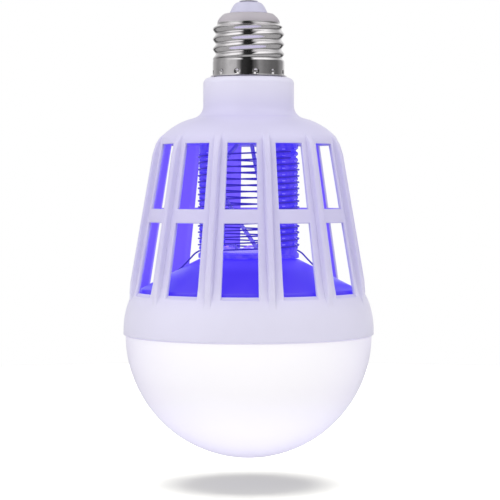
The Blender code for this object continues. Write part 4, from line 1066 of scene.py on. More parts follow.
def half_columns():
    """Columns from a bar's middle to its window's middle, as (kind, value): across the bead or an angle."""
    columns = [("bead", line) for line in BEAD_LINES]
    columns += [("turn", HALF_BAR * BAR_SHARE)]
    columns += [("edge", line) for line in EDGE_LINES[::-1]]
    return columns + [("turn", HALF_BAR + WINDOW_ANGLE / 2 * share) for share in WINDOW_SHARES]


def column_turn(kind, value, radius):
    """A column's angle from its bar's middle, in degrees, at a radius."""
    if kind == "bead":
        return math.degrees(value * BEAD_WIDTH / 2 / max(radius, LEAST_BEAD_CIRCLE))
    if kind == "edge":
        return HALF_BAR - math.degrees(value * EDGE_ROUND / max(radius, LEAST_BEAD_CIRCLE))
    return value


def all_columns():
    """Every column round the cage, as (bar's middle, side, kind, value, place in the half)."""
    half = half_columns()
    columns = []
    for bar in range(BAR_COUNT):
        middle = 360 * (bar + 0.5) / BAR_COUNT
        columns += [(middle, -1, *half[i], i) for i in range(len(half) - 2, 0, -1)]
        columns += [(middle, 1, *half[i], i) for i in range(len(half))]
    return columns


columns = all_columns()
print("cage columns:", len(columns))

# %% [markdown]
# ## Cage: the grid's points
# Every point starts on the plain wall, where its row and column cross, and is then pushed square to
# the wall: out into a bead, or back where a window's edge is rounded. A mould has to open, so
# beside the windows the inner wall is cut back a little more, which is the draft of the window's
# sides.

# %% Cage: the grid's points
INNER_ROUND_SHARE = 0.6
EDGE_DRAFT = 0.0010
OUTER_TIERS = ((WINDOW_FOOT - SILL_DROP, RING_FOOT), (RING_TOP, WINDOW_TOP))
INNER_TIERS = ((WINDOW_FOOT, RING_FOOT), (RING_TOP, WINDOW_TOP))


def edge_sink(across, along):
    """How far a rounded window edge falls back, from the distances outside it."""
    away = min(1.0, math.hypot(across, along) / EDGE_ROUND)
    return EDGE_ROUND * (1 - math.sqrt(max(0.0, 1 - (1 - away) ** 2)))


def beyond_windows(height, tiers):
    """Distance in height from the nearest tier of windows: 0 inside one."""
    return min(max(0.0, low - height, height - high) for low, high in tiers)


def section_run(number):
    """The direction in which the section runs on at a point."""
    radius, height, _ = section[number if number in (0, len(outside)) else number - 1]
    next_radius, next_height, _ = section[(number + 1) % len(section)]
    return Vector((next_radius - radius, next_height - height)).normalized()


def outer_push(kind, value, turn, radius, height, on_wall):
    """How far a point outside stands proud of the plain wall."""
    push = 0.0
    if kind == "bead":
        push += BEAD_HEIGHT * bead_share(height) * BEAD_RISES[BEAD_LINES.index(value)]
    if on_wall:
        across = max(0.0, math.radians(HALF_BAR - turn) * radius)
        push -= edge_sink(across, beyond_windows(height, OUTER_TIERS))
    return push


def inner_sink(turn, radius, height):
    """How far a point inside lies behind the plain wall, beside a window."""
    along = beyond_windows(height, INNER_TIERS)
    across = max(0.0, math.radians(HALF_BAR - turn) * radius)
    draft = EDGE_DRAFT * eased(turn / HALF_BAR) * eased(1 - along / EDGE_DRAFT)
    return INNER_ROUND_SHARE * edge_sink(across, along) + draft


def grid_row(number):
    """The points of one row, all round the cage."""
    radius, height, wall_row = section[number]
    run = section_run(number)
    row = []
    for middle, side, kind, value, _ in columns:
        turn = column_turn(kind, value, radius)
        if number < len(outside):
            push = outer_push(kind, value, turn, radius, height, wall_row != OFF_WALL)
            point = (radius + push * run.y, height - push * run.x)
        else:
            sink = inner_sink(turn, radius, height) if wall_row != OFF_WALL else 0.0
            point = (radius + sink * abs(run.y), height)
        row.append(spot(middle + side * turn, *point))
    return row


grid = [grid_row(number) for number in range(len(section))]
print("cage grid:", len(grid), "rows of", len(grid[0]), "points")

# %% [markdown]
# ## Cage: faces and windows
# The cells that lie in a window are left out, outside and inside, and side walls join the two at
# the window's edges. A point becomes part of the mesh when its first face asks for it, so nothing
# loose is left in a window.

# %% Cage: faces and windows
CAGE_SHARP = 50.0
edge_place = half_columns().index(("edge", 0.0))
is_open = [columns[j][4] >= edge_place <= columns[(j + 1) % len(columns)][4] for j in range(len(columns))]
window_spans = [
    [min(range(len(heights)), key=lambda i: abs(heights[i] - edge)) for edge in tier] for tier in OUTER_TIERS
]
outer_row = {row: i for i, (_, _, row) in enumerate(section) if row != OFF_WALL and i < len(outside)}
inner_row = {row: i for i, (_, _, row) in enumerate(section) if row != OFF_WALL and i >= len(outside)}


def in_window(*rows):
    """Whether neighbouring rows of the wall both lie in one tier of windows."""
    return OFF_WALL not in rows and any(low <= min(rows) and max(rows) <= high for low, high in window_spans)


def add_wall(add_face):
    """Faces between neighbouring rows and columns, but for those in a window."""
    for i in range(len(section)):
        k = (i + 1) % len(section)
        windowed = in_window(section[i][2], section[k][2])
        for j in range(len(columns)):
            m = (j + 1) % len(columns)
            if not (windowed and is_open[j]):
                add_face((i, j), (i, m), (k, m), (k, j))


def add_window_sides(add_face):
    """Faces through the wall, first at the sides of the windows and then at their foot and head."""
    count = len(columns)
    for low, high in window_spans:
        for row in range(low, high):
            for j in range(count):
                if is_open[j] and not (is_open[j - 1] and is_open[(j + 1) % count]):
                    side = (j + 1) % count if is_open[j - 1] else j
                    add_face((outer_row[row], side), (outer_row[row + 1], side),
                             (inner_row[row + 1], side), (inner_row[row], side))
        for row in (low, high):
            for j in range(count):
                if is_open[j]:
                    m = (j + 1) % count
                    add_face((outer_row[row], j), (outer_row[row], m),
                             (inner_row[row], m), (inner_row[row], j))


def make_cage():
    shape = bmesh.new()
    used = {}

    def add_face(*places):
        for i, j in places:
            if (i, j) not in used:
                used[i, j] = shape.verts.new(grid[i][j])
        shape.faces.new([used[place] for place in places])

    add_wall(add_face)
    add_window_sides(add_face)
    return add_piece("barred_cage", finished_mesh("barred_cage", shape, CAGE_SHARP), finishes["cage"],
                     "lavender_plastic", "cage_housing")


cage = make_cage()
print("cage:", len(cage.data.polygons), "faces")

# %% [markdown]
# ## Coil: sizes
# Under the shoulder hangs the coil holder: a disc and four curved comb posts, which hold two bare
# wires a small distance apart. On its disc lies a round board with the violet LEDs, and below it a
# cone closes off the driver.

# %% Coil: sizes
PLATE_FOOT = WINDOW_TOP + SEAT_GAP
PLATE_TOP = PLATE_FOOT + 0.0024
LEAD_HOLE_RADIUS = 0.0055
COMB_RADIUS = 0.0183
COMB_THICKNESS = 0.0028
COMB_ANGLE = 42.0
COMB_PLACES = (-121.0, -59.0, 59.0, 121.0)
GROOVE_WIDTH = 0.0014
GROOVE_DEPTH = 0.0008
CONE_EDGE = WINDOW_FOOT + 0.0011
CONE_RISE = 0.0110
CONE_TOP = CONE_EDGE + CONE_RISE
CONE_TOP_RADIUS = 0.0180
CONE_WALL = 0.0016
CONE_FLANGE_TOP = LEDGE - SEAT_GAP
CONE_FLANGE_FOOT = CONE_FLANGE_TOP - 0.0015
HOLDER_DISC_RADIUS = 0.0185
HOLDER_DISC_FOOT = CONE_TOP + SEAT_GAP
HOLDER_DISC_TOP = HOLDER_DISC_FOOT + 0.0017
UV_BOARD_FOOT = HOLDER_DISC_TOP + SEAT_GAP
UV_BOARD_TOP = UV_BOARD_FOOT + 0.0012
WIRE_RADIUS = 0.0003
WIRE_SPACING = 0.0023
WIRE_CROSSINGS = 16
FIRST_CROSSING = HOLDER_DISC_TOP + 0.0019
LEAD = 2 * WIRE_SPACING
DRIVER_BOARD_TOP = -0.1102
print("comb height:", round((PLATE_FOOT - HOLDER_DISC_TOP) * 1000, 1), "mm")

# %% [markdown]
# ## Coil holder: grooves and teeth
# The combs' grooves climb with the winding, so each groove is a helix too. Every row of a comb's
# grid asks how near it is to a crossing of the wire, and sinks by that much. Modelled grooves
# matter here: they give the posts the scalloped edges that show through the windows. Small raised
# teeth, just above each wire, keep it in its groove.

# %% Coil holder: grooves and teeth
TOOTH_PLACES = (-0.57, 0.50)
TOOTH_HALF = 0.115
TOOTH_HEIGHT = 0.00052
TOOTH_RISE = 0.00030
TOOTH_TOLERANCE = 1e-6
GROOVE_SLOPE = 0.62


def above_first_wire(angle, height):
    """Height above the first wire's crossing at an angle."""
    return height - FIRST_CROSSING - LEAD * angle / 360


def groove_dip(angle, height, first_turn):
    """How deep a comb is grooved, from 0 to 1."""
    above = above_first_wire(angle, height)
    turn = round(above / WIRE_SPACING)
    if not first_turn <= turn < WIRE_CROSSINGS:
        return 0.0
    return 1 - eased(abs(above - turn * WIRE_SPACING) / (GROOVE_SLOPE * GROOVE_WIDTH))


def is_tooth(share, angle, height, first_turn):
    """Whether a point of a comb's face lies on a tooth, just above a wire."""
    if min(abs(share - middle) for middle in TOOTH_PLACES) > TOOTH_HALF + TOOTH_TOLERANCE:
        return False
    above = above_first_wire(angle, height) - GROOVE_WIDTH / 2
    turn = round((above - TOOTH_HEIGHT / 2) / WIRE_SPACING)
    return first_turn <= turn < WIRE_CROSSINGS and 0 <= above - turn * WIRE_SPACING <= TOOTH_HEIGHT


print("a groove's middle sinks by", GROOVE_DEPTH * groove_dip(0.0, FIRST_CROSSING, 0) * 1000, "mm")

# %% [markdown]
# ## Coil holder: combs and disc
# A comb is a stack of closed rings. Across its face the points stand close together beside each
# tooth, so that the teeth get steep sides, and at the two long edges they round off. The faces on
# top of a tooth take the paler finish, because a tooth stands out into the light that the post
# behind it doesn't get.

# %% Coil holder: combs and disc
COMB_ROWS = 260
COMB_SINK = 0.0008
COMB_EDGE = ((0.955, 0.0), (0.985, 0.00015), (1.0, 0.00045))
COMB_PLAIN = (-0.85, -0.1, 0.74)
TOOTH_FRAME = (-1.04, -1.0, 1.0, 1.04)
COMB_BACK = ((1.0, 0.0004), (0.97, 0.0), (0.5, 0.0), (0.0, 0.0), (-0.5, 0.0), (-0.97, 0.0), (-1.0, 0.0004))
DISC_SOFTNESS = 0.0004
DISC_STEPS = 120
HOLDER_SHARP = 55.0


def comb_front():
    """Points across a comb's face, as (share of its half width, how far the edge is rounded back)."""
    front = [(way * share, round_off) for way in (-1, 1) for share, round_off in COMB_EDGE]
    front += [(share, 0.0) for share in COMB_PLAIN]
    front += [(middle + TOOTH_HALF * part, 0.0) for middle in TOOTH_PLACES for part in TOOTH_FRAME]
    return sorted(front)


def comb_ring(shape, place, height, first_turn):
    """One ring of a comb: its grooved and toothed face, then its plain back."""
    ring = []
    for share, round_off in comb_front():
        angle = place + COMB_ANGLE / 2 * share
        radius = COMB_RADIUS - round_off - GROOVE_DEPTH * groove_dip(angle, height, first_turn)
        if is_tooth(share, angle, height, first_turn):
            radius = COMB_RADIUS + TOOTH_RISE
        ring.append(shape.verts.new(spot(angle, radius, height)))
    for share, round_off in COMB_BACK:
        radius = COMB_RADIUS - COMB_THICKNESS + round_off
        ring.append(shape.verts.new(spot(place + COMB_ANGLE / 2 * share, radius, height)))
    return ring


def add_comb(shape, place):
    """One comb post, with its middle at an angle of place."""
    lowest = FIRST_CROSSING + LEAD * (place - COMB_ANGLE / 2) / 360
    first_turn = math.ceil((HOLDER_DISC_TOP + GROOVE_WIDTH / 2 - lowest) / WIRE_SPACING)
    rows = evenly(HOLDER_DISC_TOP - COMB_SINK, PLATE_FOOT - SEAT_GAP, COMB_ROWS)
    rings = [comb_ring(shape, place, height, first_turn) for height in rows]
    for face in join_rings(shape, rings, closed=False):
        reach = [math.hypot(v.co.x, v.co.y) for v in face.verts]
        face.material_index = int(min(reach) > COMB_RADIUS + TOOTH_RISE / 2)
    shape.faces.new(rings[0])
    shape.faces.new(rings[-1])


def make_coil_holder():
    shape = bmesh.new()
    outline = [
        (LEAD_HOLE_RADIUS, HOLDER_DISC_FOOT), (HOLDER_DISC_RADIUS, HOLDER_DISC_FOOT),
        (HOLDER_DISC_RADIUS, HOLDER_DISC_TOP), (LEAD_HOLE_RADIUS, HOLDER_DISC_TOP),
    ]
    add_spun(shape, softened(outline, DISC_SOFTNESS), DISC_STEPS)
    for place in COMB_PLACES:
        add_comb(shape, place)
    looks = (finishes["coil"], finishes["teeth"])
    mesh = finished_mesh("coil_holder", shape, HOLDER_SHARP)
    return add_piece("coil_holder", mesh, looks, "coil_plastic", "coil_frame")


holder = make_coil_holder()
print("coil holder:", len(holder.data.polygons), "faces")

# %% [markdown]
# ## Wires: a tube along a route
# A wire could be a spun and bent mesh, but a curve with a round bevel needs only its middle line
# and stays smooth at any bend. A lead's route is given by a few corners. A cubic between each two
# of them, with a slope that follows from their neighbours, passes through all without a kink, and
# evenly spread points on it make the spline.

# %% Wires: a tube along a route
def smooth_route(corners, step):
    """Evenly spread points on a smooth curve through the corners of a route."""
    corners = [Vector(corner) for corner in corners]
    before = [2 * corners[0] - corners[1]] + corners
    after = corners + [2 * corners[-1] - corners[-2]]
    points = [corners[0]]
    for i in range(len(corners) - 1):
        p0, p1, p2, p3 = before[i], corners[i], corners[i + 1], after[i + 2]
        count = max(1, round((p2 - p1).length / step))
        for k in range(1, count + 1):
            t = k / count
            cubic = (3 * p1 - p0 - 3 * p2 + p3) * t**3
            points.append(0.5 * (2 * p1 + (p2 - p0) * t + (2 * p0 - 5 * p1 + 4 * p2 - p3) * t**2 + cubic))
    return points


def tube(name, points, radius, finish, slot, node, sides):
    """A round bar along points, which stands for one CAD node."""
    curve = bpy.data.curves.new(name, "CURVE")
    curve.dimensions = "3D"
    curve.bevel_depth = radius
    curve.bevel_resolution = sides
    curve.use_fill_caps = True
    spline = curve.splines.new("POLY")
    spline.points.add(len(points) - 1)
    for spline_point, point in zip(spline.points, points):
        spline_point.co = (*point, 1.0)
    spline.use_smooth = True
    return add_piece(name, curve, finish, slot, node)


corner_route = [(0.0, 0.0, 0.0), (0.01, 0.0, 0.0), (0.01, 0.01, 0.0)]
print("a route round one corner gets", len(smooth_route(corner_route, 0.001)), "points")

# %% [markdown]
# ## Wires: the two windings
# The two bare wires wind up round the combs half a lead apart, and carry the high voltage between
# them. Each starts as a tail that comes up from the driver through the cone. Seventy-two points a
# turn are enough for a helix of this size. A wire rests on the two sides of its groove, so its
# circle follows from the groove's slope.

# %% Wires: the two windings
WIRE_STEPS = 72
WIRE_BEVEL = 2
WIRE_ROUTE_STEP = 0.0004
WIRE_TAIL_TURN = 9.0
WIRE_TAIL_CIRCLE = 0.0263
WIRE_TAIL_BEND = 0.0014
TAIL_TOP_TURN = 0.35
TAIL_TOP_DROP = 0.7
LIVE_START = -75.0
RETURN_START = -255.0
LAST_TURN = 360 * (WIRE_CROSSINGS / 2 - 1) + COMB_PLACES[2]


def cone_height(radius):
    """Height of the cone's upper face at a radius."""
    edge = cage_radius(CONE_EDGE) - HOUSING_WALL - SEAT_GAP
    return CONE_TOP - CONE_RISE * (radius - CONE_TOP_RADIUS) / (edge - CONE_TOP_RADIUS)


def winding_circle():
    """The circle on which a wire's middle line lies."""
    slope = GROOVE_DEPTH / math.hypot(GROOVE_DEPTH, GROOVE_WIDTH / 2)
    return COMB_RADIUS - GROOVE_DEPTH + (WIRE_RADIUS + SEAT_GAP) / math.sqrt(1 - slope**2)


def tail_corners(start, low):
    """Corners of a tail that comes up from the driver board to a winding's start."""
    in_cone = cone_height(WIRE_TAIL_CIRCLE)
    angle = start - WIRE_TAIL_TURN
    straight = [
        spot(angle, WIRE_TAIL_CIRCLE, DRIVER_BOARD_TOP + SEAT_GAP),
        spot(angle, WIRE_TAIL_CIRCLE, (DRIVER_BOARD_TOP + in_cone) / 2),
    ]
    bottom = Vector((angle, WIRE_TAIL_CIRCLE, in_cone - CONE_WALL / 2))
    top_circle = winding_circle() + WIRE_TAIL_BEND
    top = Vector((start - TAIL_TOP_TURN * WIRE_TAIL_TURN, top_circle, low - TAIL_TOP_DROP * WIRE_TAIL_BEND))
    return straight + [spot(*bottom.lerp(top, share)) for share in evenly(0.0, 1.0, 4)]


def winding_route(first, start):
    """A tail up from the driver through the cone, then the winding."""
    turns = evenly(start, LAST_TURN, round(WIRE_STEPS * (LAST_TURN - start) / 360))
    winding = [spot(angle, winding_circle(), first + LEAD * angle / 360) for angle in turns]
    tail = tail_corners(start, first + LEAD * start / 360)
    return smooth_route(tail + winding[:1], WIRE_ROUTE_STEP) + winding[1:]


live_route = winding_route(FIRST_CROSSING, LIVE_START)
return_route = winding_route(FIRST_CROSSING + WIRE_SPACING, RETURN_START)
for name, route, node in (
    ("live_winding", live_route, "grid_wire_live"), ("return_winding", return_route, "grid_wire_return"),
):
    tube(name, route, WIRE_RADIUS, finishes["wire"], "steel_wire", node, WIRE_BEVEL)
print("turns of each winding:", [round((LAST_TURN - start) / 360, 1) for start in (LIVE_START, RETURN_START)])

# %% [markdown]
# ## Wires: mains leads
# Two sleeved leads bring the mains from the cap down through the coil to the driver. They hang in
# loose bends, which show between the bars. Their corners are the CAD part's own, and only the curve
# through them is finer.

# %% Wires: mains leads
LEAD_SLEEVE_RADIUS = 0.00075
LEAD_ROUTE_STEP = 0.0008
LEAD_BEVEL = 5
RESISTOR_LEG = 0.0037
RESISTOR_BODY = 0.0080
resistor_foot = -CONTACT_STEM_LENGTH - SEAT_GAP - RESISTOR_LEG - RESISTOR_BODY - RESISTOR_LEG
shell_tip = SKIRT_RADIUS - SHELL_WALL - THREAD_DEPTH - SEAT_GAP
under_cone = (CONE_TOP + DRIVER_BOARD_TOP) / 2
lift = HOLDER_DISC_TOP
centre_route = [
    (0.0, 0.0, resistor_foot - SEAT_GAP), (0.0, 0.0, NECK_TOP - 0.008), (-0.0020, 0.0010, PLATE_TOP + 0.004),
    (-0.0042, 0.0010, PLATE_FOOT), (-0.0085, 0.0, lift + 0.0345), (-0.0102, -0.0010, lift + 0.0275),
    (-0.0085, -0.0020, lift + 0.0205), (-0.0052, -0.0025, lift + 0.0150), (-0.0025, -0.0025, lift + 0.0104),
    (0.0006, -0.0022, lift + 0.0058), (0.0029, -0.0018, lift + 0.0018),
    (0.0032, -0.0016, CONE_TOP - CONE_WALL), (0.0030, -0.0018, under_cone),
    (0.0030, -0.0018, DRIVER_BOARD_TOP + SEAT_GAP),
]
shell_route = [
    (shell_tip, 0.0, THREAD_FOOT + 0.0012), (shell_tip - 0.0018, 0.0, THREAD_FOOT + 0.0014),
    (shell_tip - 0.0042, 0.0002, THREAD_FOOT), (0.0060, 0.0010, NECK_TOP - 0.001),
    (0.0040, 0.0020, NECK_TOP - 0.012), (0.0008, 0.0026, PLATE_TOP + 0.003), (0.0010, 0.0026, PLATE_FOOT),
    (0.0031, 0.0026, lift + 0.0292), (0.0055, 0.0030, lift + 0.0200), (0.0062, 0.0034, lift + 0.0110),
    (0.0046, 0.0036, lift + 0.0050), (0.0027, 0.0033, lift + 0.0012), (0.0024, 0.0033, CONE_TOP - CONE_WALL),
    (0.0024, 0.0034, under_cone), (0.0024, 0.0034, DRIVER_BOARD_TOP + SEAT_GAP),
]
for name, route, node in (
    ("centre_flex", centre_route, "centre_lead"), ("shell_flex", shell_route, "shell_lead"),
):
    points = smooth_route(route, LEAD_ROUTE_STEP)
    tube(name, points, LEAD_SLEEVE_RADIUS, finishes["lead"], "lead_sleeve", node, LEAD_BEVEL)
    length = sum((end - start).length for start, end in zip(points, points[1:]))
    print(name, "is", round(length * 1000), "mm long")

# %% [markdown]
# ## Wires: leads of the violet board
# Two thinner leads bring the current from the driver up through the cone to the violet board. They
# run side by side, so one route is enough: the second is its mirror image.

# %% Wires: leads of the violet board
THIN_SLEEVE_RADIUS = 0.00045
THIN_ROUTE_STEP = 0.0005
THIN_BEVEL = 4
thin_route = [
    (-0.0072, 0.0015, UV_BOARD_TOP + SEAT_GAP), (-0.0066, 0.0015, UV_BOARD_TOP + 0.0014),
    (-0.0050, 0.0013, UV_BOARD_TOP + 0.0014), (-0.0044, 0.0012, UV_BOARD_TOP - 0.0006),
    (-0.0044, 0.0012, CONE_TOP - CONE_WALL), (-0.0050, 0.0020, under_cone),
    (-0.0050, 0.0020, DRIVER_BOARD_TOP + SEAT_GAP),
]
for i, side in enumerate((-1, 1)):
    points = smooth_route([(x, side * y, z) for x, y, z in thin_route], THIN_ROUTE_STEP)
    tube(f"violet_flex_{i + 1}", points, THIN_SLEEVE_RADIUS, finishes["lead"], "lead_sleeve",
         f"uv_lead_{i + 1}", THIN_BEVEL)
print("points of each thin lead:", len(points))

# %% [markdown]
# ## Violet board
# The violet LEDs sit on a round white board on the holder's disc. It is cut from flat sheet, so all
# that it needs besides its sizes is a small round on its edges. Two small steps are enough for a
# round that fine.

# %% Violet board
UV_BOARD_RADIUS = 0.0125
BOARD_SOFTNESS = 0.00015
BOARD_STEPS = 96
board_outline = [
    (LEAD_HOLE_RADIUS, UV_BOARD_FOOT), (UV_BOARD_RADIUS, UV_BOARD_FOOT),
    (UV_BOARD_RADIUS, UV_BOARD_TOP), (LEAD_HOLE_RADIUS, UV_BOARD_TOP),
]
violet_board = spun_piece("violet_board", softened(board_outline, BOARD_SOFTNESS, 2), BOARD_STEPS,
                          finishes["lit_board"], "circuit_board", "uv_board")
print("violet board:", len(violet_board.data.polygons), "faces")

# %% [markdown]
# ## Violet LEDs
# Each LED is a square package with a round lens that stands in it. The package is a cube pulled to
# size, with its edges bevelled, and the lens is spun. Six objects share the one mesh, which is how
# Blender repeats a part without making it six times.

# %% Violet LEDs
UV_LED_COUNT = 6
UV_LED_CIRCLE = 0.0090
UV_LED_SIDE = 0.0028
UV_LED_HEIGHT = 0.0009
UV_LENS_RADIUS = 0.0011
PACKAGE_SHARE = 0.62
PACKAGE_BEVEL = 0.08
LENS_TURNS = (0.4, 0.8, 1.2)
LENS_STEPS = 24


def led_mesh(name, side, height, lens_radius):
    """A package with bevelled edges and a lens that stands in it."""
    shape = bmesh.new()
    body = PACKAGE_SHARE * height
    for v in bmesh.ops.create_cube(shape, size=1)["verts"]:
        v.co = Vector((v.co.x * side, v.co.y * side, (v.co.z + 0.5) * body))
    bmesh.ops.bevel(shape, geom=shape.edges, offset=PACKAGE_BEVEL * side, segments=2, affect="EDGES")
    package = len(shape.faces)
    outline = [(0.0, 0.5 * body), (lens_radius, 0.5 * body), (lens_radius, body)]
    outline += [(lens_radius * math.cos(t), body + (height - body) * math.sin(t)) for t in LENS_TURNS]
    add_spun(shape, outline + [(0.0, height)], LENS_STEPS)
    shape.faces.ensure_lookup_table()
    for face in shape.faces[package:]:
        face.material_index = 1
    return finished_mesh(name, shape)


violet_led = led_mesh("violet_led_shape", UV_LED_SIDE, UV_LED_HEIGHT, UV_LENS_RADIUS)
violet_led.materials.append(finishes["package"])
violet_led.materials.append(finishes["violet_lens"])
for i in range(UV_LED_COUNT):
    turn = 360 / UV_LED_COUNT * i
    piece = add_piece(f"violet_led_{i + 1}", violet_led, (), "violet_led", f"uv_led_{i + 1}")
    piece.location = spot(turn, UV_LED_CIRCLE, UV_BOARD_TOP + SEAT_GAP)
    piece.rotation_euler.z = math.radians(turn)
print("violet LEDs at", round(UV_LED_CIRCLE * 1000, 1), "mm from the axis")

# %% [markdown]
# ## Cone
# The cone under the coil covers the driver and throws the violet light out through the windows. Its
# flange rests on the ledge inside the collar. Its underside runs parallel to its top, so the
# corners there move in by the wall times the tangent of half the slope.

# %% Cone
CONE_SOFTNESS = 0.0007
CONE_STEPS = 180
edge = cage_radius(CONE_EDGE) - HOUSING_WALL - SEAT_GAP
flange = collar_radius(LEDGE) - COLLAR_WALL - SEAT_GAP
drop = CONE_WALL * math.tan(math.atan2(CONE_RISE, edge - CONE_TOP_RADIUS) / 2)
cone_outline = [
    (LEAD_HOLE_RADIUS, CONE_TOP), (CONE_TOP_RADIUS, CONE_TOP), (edge, CONE_EDGE), (edge, CONE_FLANGE_TOP),
    (flange, CONE_FLANGE_TOP), (flange, CONE_FLANGE_FOOT), (edge - CONE_WALL, CONE_FLANGE_FOOT),
    (edge - CONE_WALL, CONE_EDGE - drop), (CONE_TOP_RADIUS - drop, CONE_TOP - CONE_WALL),
    (LEAD_HOLE_RADIUS, CONE_TOP - CONE_WALL),
]
cone = spun_piece("reflector_cone", softened(cone_outline, CONE_SOFTNESS), CONE_STEPS, finishes["cone"],
                  "base_plastic", "base_cone")
print("cone:", len(cone.data.polygons), "faces")

# %% [markdown]
# ## Dome
# The opal dome is half a ball with a thin wall and a rim that plugs into the collar. Its outer edge
# is a hair rounded, which draws the fine line between dome and collar. Half a sphere from Blender's
# menu would have no wall and no rim, so the dome is spun from its section as the rest is.

# %% Dome
DOME_RADIUS = 0.0452
DOME_TOP = COLLAR_FOOT - SEAT_GAP
DOME_WALL = 0.0016
DOME_RIM_WALL = 0.0015
DOME_RIM_GAP = 0.0010
DOME_EDGE = ((0.00006, 0.0002), (0.0003, 0.0))
DOME_STEPS = 192
DOME_ARC_STEPS = 72
DOME_ARC_END = -0.6
DOME_INNER_STEPS = 40
rim = collar_radius(SINK_FOOT) - COLLAR_WALL - DOME_RIM_GAP
rim_top = SINK_FOOT - SEAT_GAP
inner = DOME_RADIUS - DOME_WALL
inner_start = math.degrees(math.acos((rim - DOME_RIM_WALL) / inner))
middle = (0.0, DOME_TOP)
dome_outline = [(0.0, DOME_TOP - DOME_RADIUS)]
dome_outline += arc(middle, DOME_RADIUS, -90, DOME_ARC_END, DOME_ARC_STEPS)[1:]
dome_outline += [(DOME_RADIUS - step, DOME_TOP - down) for step, down in DOME_EDGE]
dome_outline += [(rim, DOME_TOP), (rim, rim_top), (rim - DOME_RIM_WALL, rim_top)]
dome_outline += arc(middle, inner, -inner_start, -90, DOME_INNER_STEPS)[:-1] + [(0.0, DOME_TOP - inner)]
dome = spun_piece("opal_dome", dome_outline, DOME_STEPS, finishes["opal"], "opal_plastic", "diffuser")
print("dome:", len(dome.data.polygons), "faces, foot at", round((DOME_TOP - DOME_RADIUS) * 1000, 1), "mm")

# %% [markdown]
# ## Pieces that keep their CAD shape
# Screws, boards and driver parts are plain shapes in the real lamp too, and sit behind the cone or
# the plate. They keep their CAD meshes and only get the finishes from above, by the name of each
# node.

# %% Finishes of the carried-over nodes
CARRIED = {
    "board_screw": "aluminium", "plate_screw": "aluminium", "heat_sink": "aluminium",
    "led_board": "white_board", "white_led": "white_lens", "driver_board": "board",
    "driver_transformer": "tape", "hv_transformer": "tape", "hv_capacitor": "film", "choke": "resin",
    "bridge_rectifier": "resin", "supply_capacitor": "sleeve", "fuse_resistor": "ceramic",
    "coil_top_plate": "coil",
}
dressed = 0
for name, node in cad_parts.items():
    look = next((look for start, look in CARRIED.items() if name.startswith(start)), None)
    if look:
        for material_slot in node.material_slots:
            material_slot.material = finishes[look]
        dressed += 1
print("carried-over nodes dressed:", dressed)

# %% [markdown]
# ## Floor
# The lamp hangs in front of white paper, a little above it, over a soft narrow shadow. A shader
# knows what kind of ray asks for its colour, so the paper has three. The camera sees it nearly
# white. What it throws back on the lamp is greyer, because real paper lies further off than this
# one. Polished metal sees it darker still, or the thread's lower flanks would lose the dark lines
# that make them look rolled.

# %% Floor
FLOOR_HEIGHT = -0.1780
FLOOR_REACH = 0.50
FLOOR_STEPS = 128
PAPER_SEEN = (0.575, 0.575, 0.55, 1.0)
PAPER_BOUNCE_LEVEL = 0.24
PAPER_MIRRORED_LEVEL = 0.115


def grey(level):
    """A grey as a shader takes it."""
    return (level, level, level, 1.0)


def make_paper():
    """The paper's finish, in one colour for each kind of ray."""
    material, tree, shader = start_material("paper", Roughness=1.0, Specular_IOR_Level=0.0)
    path = tree.nodes.new("ShaderNodeLightPath")
    bounced = blend_colours(
        tree, path.outputs["Is Glossy Ray"], grey(PAPER_BOUNCE_LEVEL), grey(PAPER_MIRRORED_LEVEL),
    )
    seen = blend_colours(tree, path.outputs["Is Camera Ray"], bounced, PAPER_SEEN)
    tree.links.new(seen, shader.inputs["Base Color"])
    return material


def make_floor():
    shape = bmesh.new()
    bmesh.ops.create_circle(shape, cap_ends=True, segments=FLOOR_STEPS, radius=FLOOR_REACH)
    mesh = bpy.data.meshes.new("floor")
    shape.to_mesh(mesh)
    shape.free()
    mesh.materials.append(make_paper())
    floor = bpy.data.objects.new("floor", mesh)
    floor.location.z = FLOOR_HEIGHT
    bpy.context.scene.collection.objects.link(floor)
    return floor


floor = make_floor()
print("floor below the dome by", round((DOME_TOP - DOME_RADIUS - FLOOR_HEIGHT) * 1000, 1), "mm")

# %% [markdown]
# ## Light: what polished metal sees
# The light on the lamp is nearly flat, as in a light tent. Flat light leaves polished metal without
# shape, so what mirrors see is drawn on its own: soft panels of many greys round the sides, a
# bright ceiling that is dimmer at the back, a dark ground, and one black strip that runs from front
# to back over the lamp. A world can do this, because a ray knows whether it left a glossy surface.
# The pattern is fixed in space, so it stays put when the camera moves.

# %% Light: what polished metal sees
PANELS = (
    (-180, 1.0), (-163, 0.78), (-138, 0.42), (-111, 0.29), (-88, 0.38), (-64, 0.58), (-38, 0.52),
    (-28, 0.24), (-17, 0.03), (13, 0.01), (24, 0.10), (40, 0.27), (61, 0.18), (85, 0.13), (105, 0.12),
    (136, 0.29), (160, 0.80), (180, 1.0),
)
CEILING = grey(1.12)
REAR_CEILING = grey(0.58)
GROUND = grey(0.06)
STRIP = grey(0.02)
STRIP_SIDE = 0.02
STRIP_EDGES = (0.16, 0.34)
CEILING_EDGES = (0.38, 0.72)
GROUND_EDGES = (-0.04, -0.24)
REAR_EDGES = (-0.10, 0.50)


